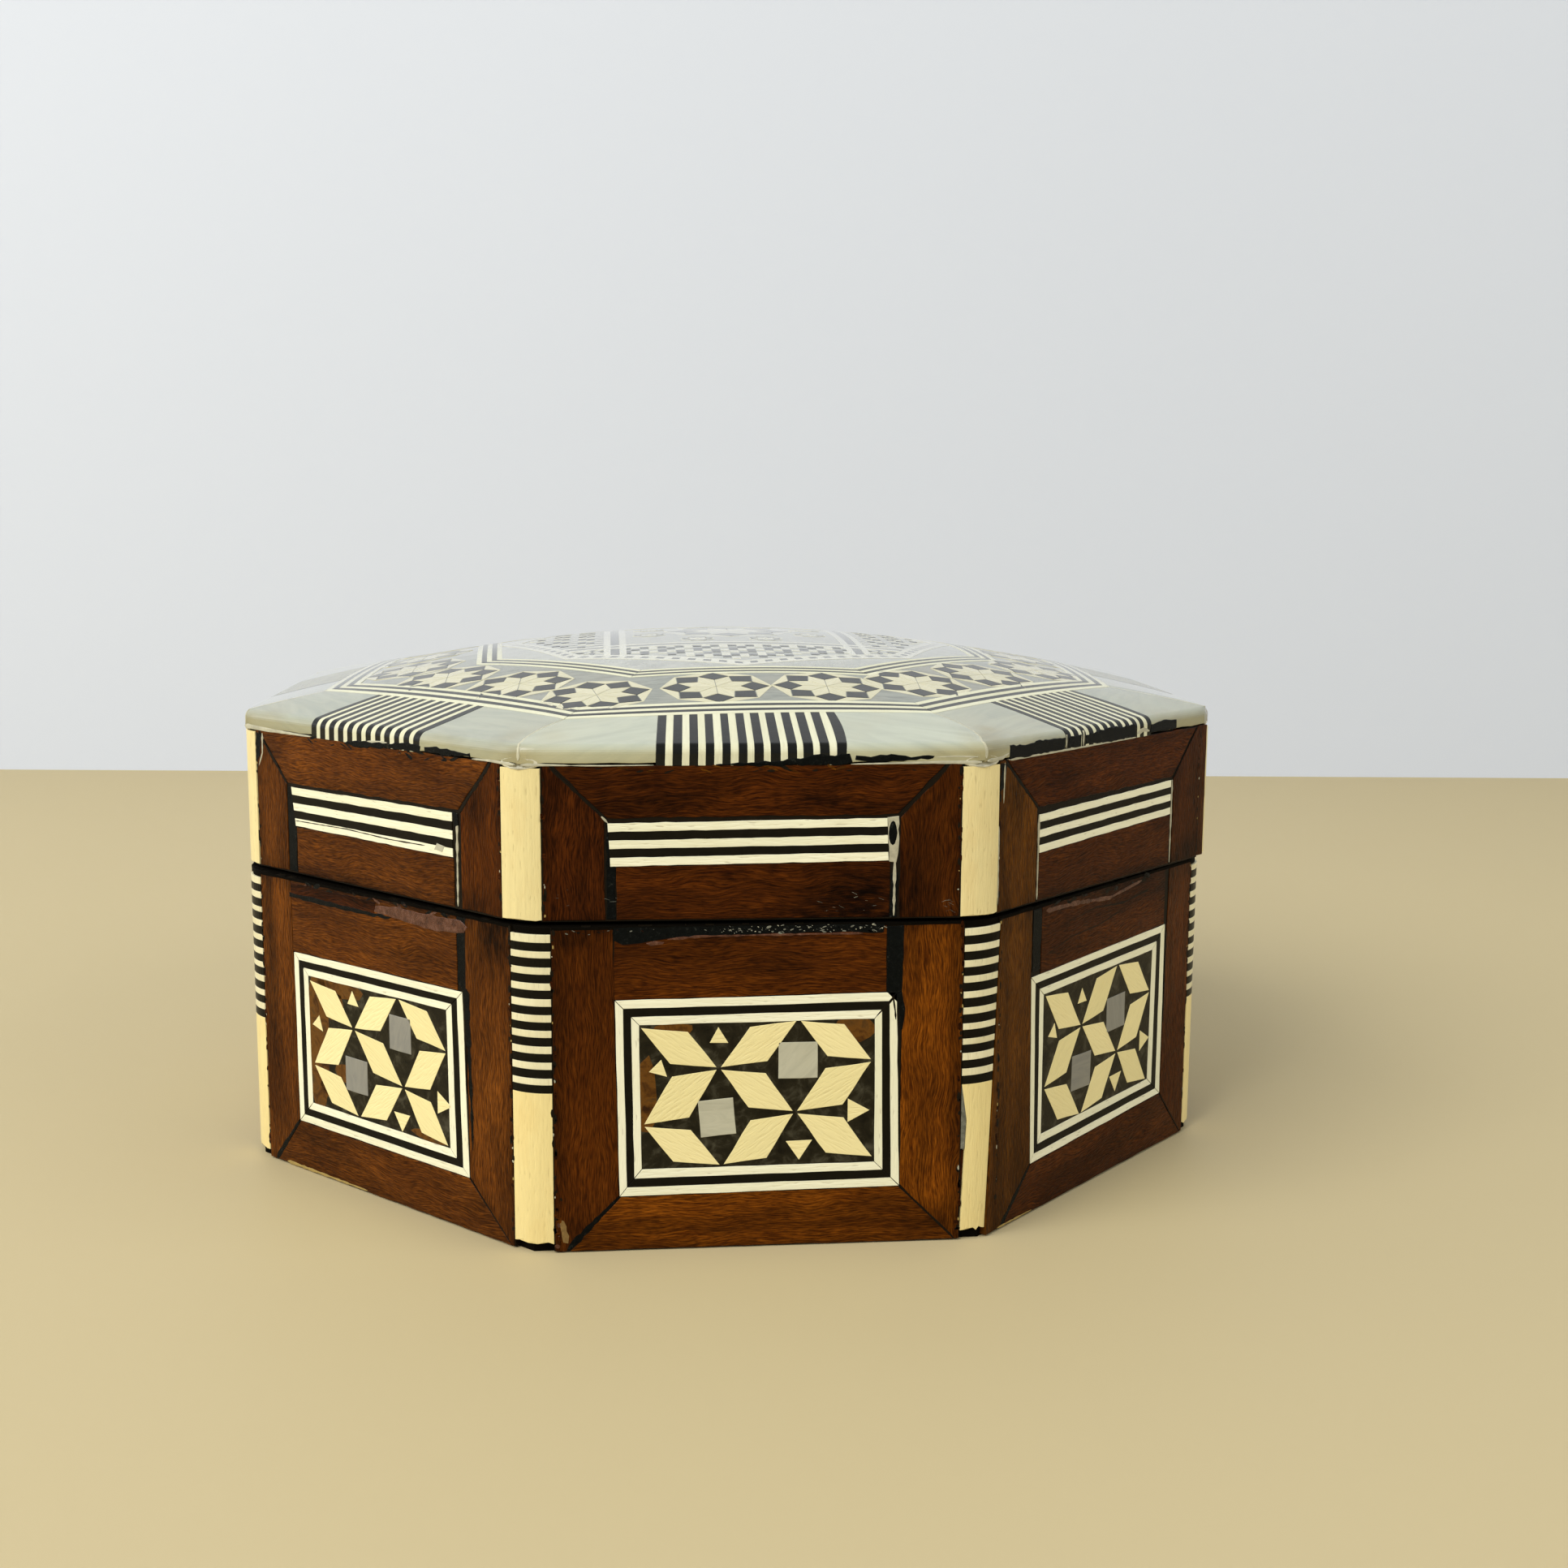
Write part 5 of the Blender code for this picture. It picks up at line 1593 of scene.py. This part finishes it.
PLAIN_GLUE = (([(-28.0, 67.0), (-12.0, 66.9)], (0.5, 0.2)), ([(12.0, 66.9), (28.0, 67.0)], (0.2, 0.5)))
# The smear of glue over a lid slip: its half width, its half height and the height of its middle
SMEAR = (2.9, 0.95, 67.2)
SMEAR_POINTS = 16


def shoulder_mends(side, face):
    """Filler and glue along the foot of the shoulder, a piece of its own on each side."""
    piece = Piece(f"lid_edge_mends_{face}", "base_mosaic")
    place = lid_face(side)
    for outline in EDGE_FILLERS.get(face, ()):
        piece.tile(hand_cut(outline, piece.rng, 0.14, 0.7), place, "filler", 0.07, 0.8, 0.0, 0.10)
    for path, widths in EDGE_GLUE.get(face, PLAIN_GLUE):
        piece.bead(walk(path, 0.9), place, "glaze", widths, 0.03, 0.12)
    piece.done()


def corner_glue(corner):
    """A smear of old glue over the top of a lid slip."""
    piece = Piece(f"lid_corner_glue_{corner + 1}", "base_mosaic")
    rng = piece.rng
    size = 1.0 if corner in (0, 1) else 0.55
    wide, high, middle = SMEAR
    outline = []
    for k in range(SMEAR_POINTS):
        angle = k * math.tau / SMEAR_POINTS
        outline.append((wide * size * math.cos(angle) * rng.uniform(0.96, 1.04),
                        middle + high * size * math.sin(angle) * rng.uniform(0.9, 1.06)))
    piece.tile(outline, corner_place(corner), "smear", 0.02, 1.2, 0.0, 0.2)
    piece.done()


def build_shoulder():
    for side, face in enumerate(FACE_NAMES):
        edges = PATCH_EDGES.get(face, PLAIN_PATCH)
        pearl_plate(side, face, -1, "left", edges)
        pearl_plate(side, face, 1, "right", edges)
        striped_patch(side, face, edges)
        shoulder_mends(side, face)
        corner_glue(side)


# The lid's top: string rings, rosettes and the middle field

# How far the corners of the string rings are off a regular octagon, as laid by hand
OUTER_CORNERS_OFF = {0: (0.4, -2.6), 1: (0.5, 0.0), 2: (-2.2, -1.4), 7: (-1.9, -0.3)}
INNER_CORNERS_OFF = {0: (0.0, -0.6), 7: (1.6, -3.2)}
OUTER_RING = (62.0, 57.0)
INNER_RING = (43.0, 38.9)
INNER_TURN = math.radians(2.0)
RING_STRINGS = ("string_top", "black_top", "string_top", "black_top", "string_top")
RING_STEPS = 12


def ring_corners(reach, turn, off, share=1.0):
    """The corners of an outline laid by hand, off an even octagon."""
    corners = octagon(reach, turn)
    return [(x + off.get(k, (0.0, 0.0))[0] * share, y + off.get(k, (0.0, 0.0))[1] * share)
            for k, (x, y) in enumerate(corners)]


def string_ring(piece, outer, inner):
    """Strings on the dome between two octagonal outlines."""
    for index in range(SIDES):
        for row, finish in enumerate(RING_STRINGS):
            far, near = string_ends(outer, inner, index, row, len(RING_STRINGS), 0.06)
            rows = band_rows(*far, *near, RING_STEPS)
            turn = math.atan2(far[1][1] - far[0][1], far[1][0] - far[0][0])
            piece.sheet(rows, lid_top, finish, -0.01, 0.8, turn, 0.02)


def around(centre, radius, degrees):
    angle = math.radians(degrees)
    return centre[0] + radius * math.cos(angle), centre[1] + radius * math.sin(angle)


def rosette(piece, centre, turn, scale=1.0, pale="tile_top", dark="black_top"):
    """An eight-pointed star, eight black lozenges between its points and eight pale tiles outside them."""
    star, notch, tip, rim = 5.9 * scale, 3.6 * scale, 7.7 * scale, 8.15 * scale
    for k in range(SIDES):
        axis = turn + 45 * k
        point = axis + 22.5
        quarter = [around(centre, 0.12, point), around(centre, notch - 0.05, axis + 1),
                   around(centre, star - 0.1, point), around(centre, notch - 0.05, axis + 44)]
        piece.tile(quarter, lid_top, pale, -0.01, 0.5, math.radians(point), 0.02)
        black = [around(centre, notch + 0.05, axis), around(centre, star, axis + 21.9),
                 around(centre, tip, axis), around(centre, star, axis - 21.9)]
        piece.tile(hand_cut(black, piece.rng, 0.04, 3.0), lid_top, dark, -0.01, 0.5, 0.0, 0.03)
        outer = [around(centre, star + 0.1, point), around(centre, tip + 0.05, axis + 1),
                 around(centre, rim, axis), around(centre, rim, axis + 45),
                 around(centre, tip + 0.05, axis + 44)]
        piece.tile(outer, lid_top, pale, -0.012, 0.5, math.radians(point + 90), 0.02)


def along_ring(corners, distance):
    """A point at a distance along a closed outline, from its first corner, and the side it is on."""
    lengths = [math.dist(corners[k], corners[(k + 1) % SIDES]) for k in range(SIDES)]
    distance %= sum(lengths)
    side = 0
    while distance > lengths[side]:
        distance -= lengths[side]
        side += 1
    length = lengths[side]
    return lerp(corners[side], corners[(side + 1) % SIDES], distance / length), side, distance, length


ROSETTES = 20
FRONT_ROSETTES = 9
ROSETTE_PITCH = 16.2
# Where the first lies along the ring's middle line, from its first corner
FIRST_ROSETTE = -0.4 - 4 * ROSETTE_PITCH
# Near a corner of the ring a rosette turns part of the way to the next side
CORNER_NEAR = 5.0
CORNER_TURN = 10.125
# How far some rosettes lie off the even spacing
ROSETTES_OFF = {0: (-1.4, -0.4), 1: (-1.3, -1.0), 2: (-1.0, -1.7), 3: (-1.0, -1.9), 4: (-1.1, -1.4),
                8: (0.6, -0.3)}


def rosette_places():
    """Where the rosettes lie, each as its middle and its turn in degrees."""
    outer = ring_corners(OUTER_RING[1], 0.0, OUTER_CORNERS_OFF, 0.9)
    inner = ring_corners(INNER_RING[0], INNER_TURN, INNER_CORNERS_OFF)
    middle = [lerp(a, b, 0.5) for a, b in zip(outer, inner)]
    total = sum(math.dist(middle[k], middle[(k + 1) % SIDES]) for k in range(SIDES))
    last = FIRST_ROSETTE + (FRONT_ROSETTES - 1) * ROSETTE_PITCH
    places = []
    for k in range(ROSETTES):
        distance = FIRST_ROSETTE + k * ROSETTE_PITCH
        if k >= FRONT_ROSETTES:
            share = (k - FRONT_ROSETTES + 1) / (ROSETTES - FRONT_ROSETTES + 1)
            distance = last + (FIRST_ROSETTE + total - last) * share
        place, side, reached, length = along_ring(middle, distance)
        turn = 45.0 * side
        corner = min(reached, length - reached)
        if corner < CORNER_NEAR:
            turn += CORNER_TURN * (1 - corner / CORNER_NEAR) * (-1 if reached < length / 2 else 1)
        off = ROSETTES_OFF.get(k, (0.0, 0.0))
        places.append(((place[0] + off[0], place[1] + off[1]), turn))
    return places


GROUND_DEEP = 0.05
GROUND_THICK = 0.6
GROUND_COLUMNS = 6


def dome_ground(piece, outer, inner, steps, finish):
    """A closed sheet of ground on the dome, from one octagonal outline in to another, or to the centre."""
    plans = []
    for k in range(steps + 1):
        corners = [lerp(a, b, k / steps) for a, b in zip(outer, inner)]
        plans.append([lerp(corners[side], corners[(side + 1) % SIDES], step / GROUND_COLUMNS)
                      for side in range(SIDES) for step in range(GROUND_COLUMNS)])
    if inner[0] == (0.0, 0.0):
        plans[-1] = [(0.0, 0.0)]
    rings = [(plan, GROUND_DEEP) for plan in plans]
    rings += [(plan, GROUND_DEEP + GROUND_THICK) for plan in plans[::-1]]
    loft(piece, rings, lid_top, finish, closed=True)


def build_ring():
    piece = Piece("lid_rosettes", "lid_mosaic", "lid_star_ring")
    outer = ring_corners(OUTER_RING[0], 0.0, OUTER_CORNERS_OFF)
    edge = ring_corners(OUTER_RING[0] - 0.5, 0.0, OUTER_CORNERS_OFF)
    dome_ground(piece, edge, ring_corners(INNER_RING[0] - 0.5, INNER_TURN, INNER_CORNERS_OFF), 13,
                "ground_shell")
    inner = ring_corners(OUTER_RING[1], 0.0, OUTER_CORNERS_OFF, 0.92)
    string_ring(piece, outer, inner)
    for place, turn in rosette_places():
        rosette(piece, place, turn + piece.rng.uniform(-2, 2))
    piece.done()


FIELD_RADIUS = 38.4
FIELD_BAND = 3.3
FRAME_LINES = (0.0, 0.32, 0.68, 1.0)
FRAME_DOTS = 22
# The pairs of bars across the field: their distance from its middle, and the half widths in them
BAR = 19.3
BAR_APART = 1.25
BAR_HALF = 0.55
BAR_BLACK_HALF = 0.68
BAR_STEPS = 16


def field_corner(radius, k):
    angle = FRONT + k * STEP + INNER_TURN * 0.5
    return radius * math.cos(angle), radius * math.sin(angle)


def build_centre():
    piece = Piece("lid_field", "lid_mosaic", "lid_centre_panel")
    edge = ring_corners(INNER_RING[0] - 0.6, INNER_TURN, INNER_CORNERS_OFF)
    dome_ground(piece, edge, [(0.0, 0.0)] * SIDES, 16, "ground_field")
    string_ring(piece, ring_corners(INNER_RING[0], INNER_TURN, INNER_CORNERS_OFF),
                ring_corners(INNER_RING[1], INNER_TURN, INNER_CORNERS_OFF, 0.9))
    frame_band(piece)
    field_mosaic(piece)
    piece.done()


def frame_band(piece):
    """The inner octagon: two pale lines with a dotted line between them."""
    for k in range(SIDES):
        corners = [[field_corner(FIELD_RADIUS - FIELD_BAND * share, k + end) for share in FRAME_LINES]
                   for end in (0, 1)]
        for first, last in ((0, 1), (2, 3)):
            rows = band_rows(corners[0][first], corners[1][first], corners[0][last], corners[1][last], 8)
            piece.sheet(rows, lid_top, "tile_field", -0.01, 0.5, 0.0, 0.02)
        for dot in range(FRAME_DOTS):
            a, b = dot / FRAME_DOTS, (dot + 1) / FRAME_DOTS
            outline = [lerp(corners[0][1], corners[1][1], a), lerp(corners[0][1], corners[1][1], b),
                       lerp(corners[0][2], corners[1][2], b), lerp(corners[0][2], corners[1][2], a)]
            piece.tile(outline, lid_top, "black_field" if dot % 2 else "tile_field", -0.015, 0.5, 0.0, 0.02)


def bar_rows(middle, half, low, high):
    return [[(x, low + (high - low) * k / BAR_STEPS) for k in range(BAR_STEPS + 1)]
            for x in (middle - half, middle + half)]


def field_mosaic(piece):
    """Bars, small tiles and a large star inside the inner octagon."""
    inside = [field_corner(FIELD_RADIUS - FIELD_BAND - 0.2, k) for k in range(SIDES)]
    for quarter in range(4):
        turn = quarter * math.pi / 2 + INNER_TURN * 0.5
        cos, sin = math.cos(turn), math.sin(turn)

        def place(x, y, deep=0.0):
            return lid_top(cos * x - sin * y, sin * x + cos * y, deep)
        plain = [(cos * x + sin * y, cos * y - sin * x) for x, y in inside]
        for middle in (-BAR - BAR_APART, -BAR + BAR_APART):
            bar = clip_to(turned_box(middle, 0.0, 2 * BAR_HALF, 80.0, 0.0), plain)
            heights = [y for _, y in bar]
            rows = bar_rows(middle, BAR_HALF, min(heights), max(heights))
            piece.sheet(rows, place, "tile_field", 0.0, 0.5, math.pi / 2, 0.02)
        piece.sheet(bar_rows(-BAR, BAR_BLACK_HALF, -30.0, 30.0), place, "black_field", -0.015, 0.5,
                    math.pi / 2, 0.02)
        small_mosaic(piece, place, plain)
        rosette_at(piece, place, (-22.9, -22.9), 0.33)
    rosette(piece, (0.0, 0.0), 0.0, 1.35, "tile_field", "black_field")
    for k in range(SIDES):
        rosette(piece, around((0.0, 0.0), 14.6, 45 * k + 22.5), 45 * k + 22.5, 0.36, "tile_field",
                "black_field")


def rosette_at(piece, place, centre, scale):
    """A small star of eight kites, pale and black in turn."""
    for k in range(SIDES):
        point = 45 * k
        outline = [around(centre, 0.1, point), around(centre, 3.7 * scale, point - 22.5),
                   around(centre, 5.9 * scale * 1.6, point), around(centre, 3.7 * scale, point + 22.5)]
        piece.tile(outline, place, "tile_field" if k % 2 else "black_field", -0.01, 0.5, 0.0, 0.02)


CELL = 1.4
CELL_ROWS = 14
CELL_COLUMNS = 26
CELL_PATTERN = ("tile_field", "ground_field", "black_field", "ground_field")
CELL_STRIPES = ("black_field", "tile_field")


def small_mosaic(piece, place, inside):
    """Rows of small squares between two bars and the frame: pale, black and shell in turn."""
    for row in range(CELL_ROWS):
        for column in range(CELL_COLUMNS):
            x = (column - CELL_COLUMNS / 2 + 0.5) * CELL
            y = -BAR - 2.6 - row * CELL
            outline = turned_box(x, y, CELL * 0.94, CELL * 0.94, 0.0)
            kept = clip_to(outline, inside)
            whole = len(kept) == 4 and len({round(value, 6) for point in kept for value in point}) <= 4
            finish = CELL_PATTERN[(row + column) % 4] if row % 3 else CELL_STRIPES[column % 2]
            if whole and finish != "ground_field":
                piece.tile(outline, place, finish, -0.012, 0.5, 0.0, 0.03)


# Stage, light and camera

CAMERA_PLACE = Vector((-21.8, -319.7, 101.1)) * MM
CAMERA_AZIMUTH = math.radians(-5.65)
CAMERA_PITCH = math.radians(8.53)
CAMERA_ROLL = math.radians(0.32)
FOCAL_PIXELS = 2302.0
IMAGE_PIXELS = 1932.0
SENSOR = 36.0
FLOOR_COLOUR = (0.52, 0.425, 0.235)
FLOOR_HALF = 2.5
WALL_COLOUR = (0.66, 0.695, 0.755)
WALL_DISTANCE = 0.7
WALL_HALF = 1.6
WALL_HEIGHT = 1.3
ROOM_COLOUR = (0.93, 0.965, 1.0)
ROOM_STRENGTH = 0.50
LIGHT_TARGET = Vector((0.0, 0.0, 0.03))
# Each light: its place and size in metres, its watts and its colour
LIGHTS = {"key": ((-0.75, -0.62, 0.95), 0.9, 16.0, (0.99, 0.995, 1.0)),
          "fill": ((0.9, -0.5, 0.7), 0.8, 3.6, (0.98, 0.99, 1.0)),
          "side": ((-1.2, 0.05, 0.45), 0.7, 2.2, (0.99, 0.995, 1.0))}


def camera_axes():
    back = Vector((math.sin(CAMERA_AZIMUTH) * math.cos(CAMERA_PITCH),
                   -math.cos(CAMERA_AZIMUTH) * math.cos(CAMERA_PITCH), math.sin(CAMERA_PITCH)))
    right = Vector((math.cos(CAMERA_AZIMUTH), math.sin(CAMERA_AZIMUTH), 0.0))
    up = back.cross(right)
    rolled_right = math.cos(CAMERA_ROLL) * right + math.sin(CAMERA_ROLL) * up
    rolled_up = -math.sin(CAMERA_ROLL) * right + math.cos(CAMERA_ROLL) * up
    return rolled_right, rolled_up, back


def add_camera():
    data = bpy.data.cameras.new("camera")
    data.sensor_width = SENSOR
    data.lens = FOCAL_PIXELS * SENSOR / IMAGE_PIXELS
    data.clip_start = 0.01
    data.clip_end = 20.0
    camera = bpy.data.objects.new("camera", data)
    bpy.context.scene.collection.objects.link(camera)
    right, up, back = camera_axes()
    turn = Matrix((right, up, back)).transposed()
    camera.matrix_world = Matrix.Translation(CAMERA_PLACE) @ turn.to_4x4()
    bpy.context.scene.camera = camera


def add_plane(name, corners, material):
    mesh = bpy.data.meshes.new(name)
    mesh.from_pydata(corners, [], [(0, 1, 2, 3)])
    mesh.materials.append(material)
    item = bpy.data.objects.new(name, mesh)
    bpy.context.scene.collection.objects.link(item)


def stage_material(name, colour, rough):
    material, tree = new_material(name)
    finish_shader(tree, (*colour, 1.0), rough, None, 0.2)
    return material


def add_stage():
    floor = stage_material("pale_floor", FLOOR_COLOUR, 0.6)
    corners = [(x * FLOOR_HALF, y * FLOOR_HALF, 0.0) for x, y in ((-1, -1), (1, -1), (1, 1), (-1, 1))]
    add_plane("floor", corners, floor)
    _, _, back = camera_axes()
    flat_back = Vector((back.x, back.y, 0.0)).normalized()
    along = Vector((-flat_back.y, flat_back.x, 0.0))
    foot = Vector((CAMERA_PLACE.x, CAMERA_PLACE.y, 0.0)) - flat_back * WALL_DISTANCE
    wall = stage_material("pale_wall", WALL_COLOUR, 0.8)
    left, right, high = foot + along * WALL_HALF, foot - along * WALL_HALF, Vector((0.0, 0.0, WALL_HEIGHT))
    add_plane("backdrop", [left, right, right + high, left + high], wall)


def add_light(name, place, size, watts, colour):
    data = bpy.data.lights.new(name, "AREA")
    data.shape = "SQUARE"
    data.size = size
    data.energy = watts
    data.color = colour
    item = bpy.data.objects.new(name, data)
    bpy.context.scene.collection.objects.link(item)
    item.location = place
    item.rotation_euler = (LIGHT_TARGET - Vector(place)).to_track_quat("-Z", "Y").to_euler()


def add_lights():
    world = bpy.data.worlds.new("soft_room")
    world.use_nodes = True
    background = world.node_tree.nodes["Background"]
    background.inputs["Color"].default_value = (*ROOM_COLOUR, 1.0)
    background.inputs["Strength"].default_value = ROOM_STRENGTH
    bpy.context.scene.world = world
    for name, light in LIGHTS.items():
        add_light(name, *light)


bpy.context.scene.view_settings.view_transform = "Standard"
build_bodies()
build_base_slips()
build_lid_slips()
build_base_faces()
build_lid_faces()
build_shoulder()
build_ring()
build_centre()
add_stage()
add_lights()
add_camera()
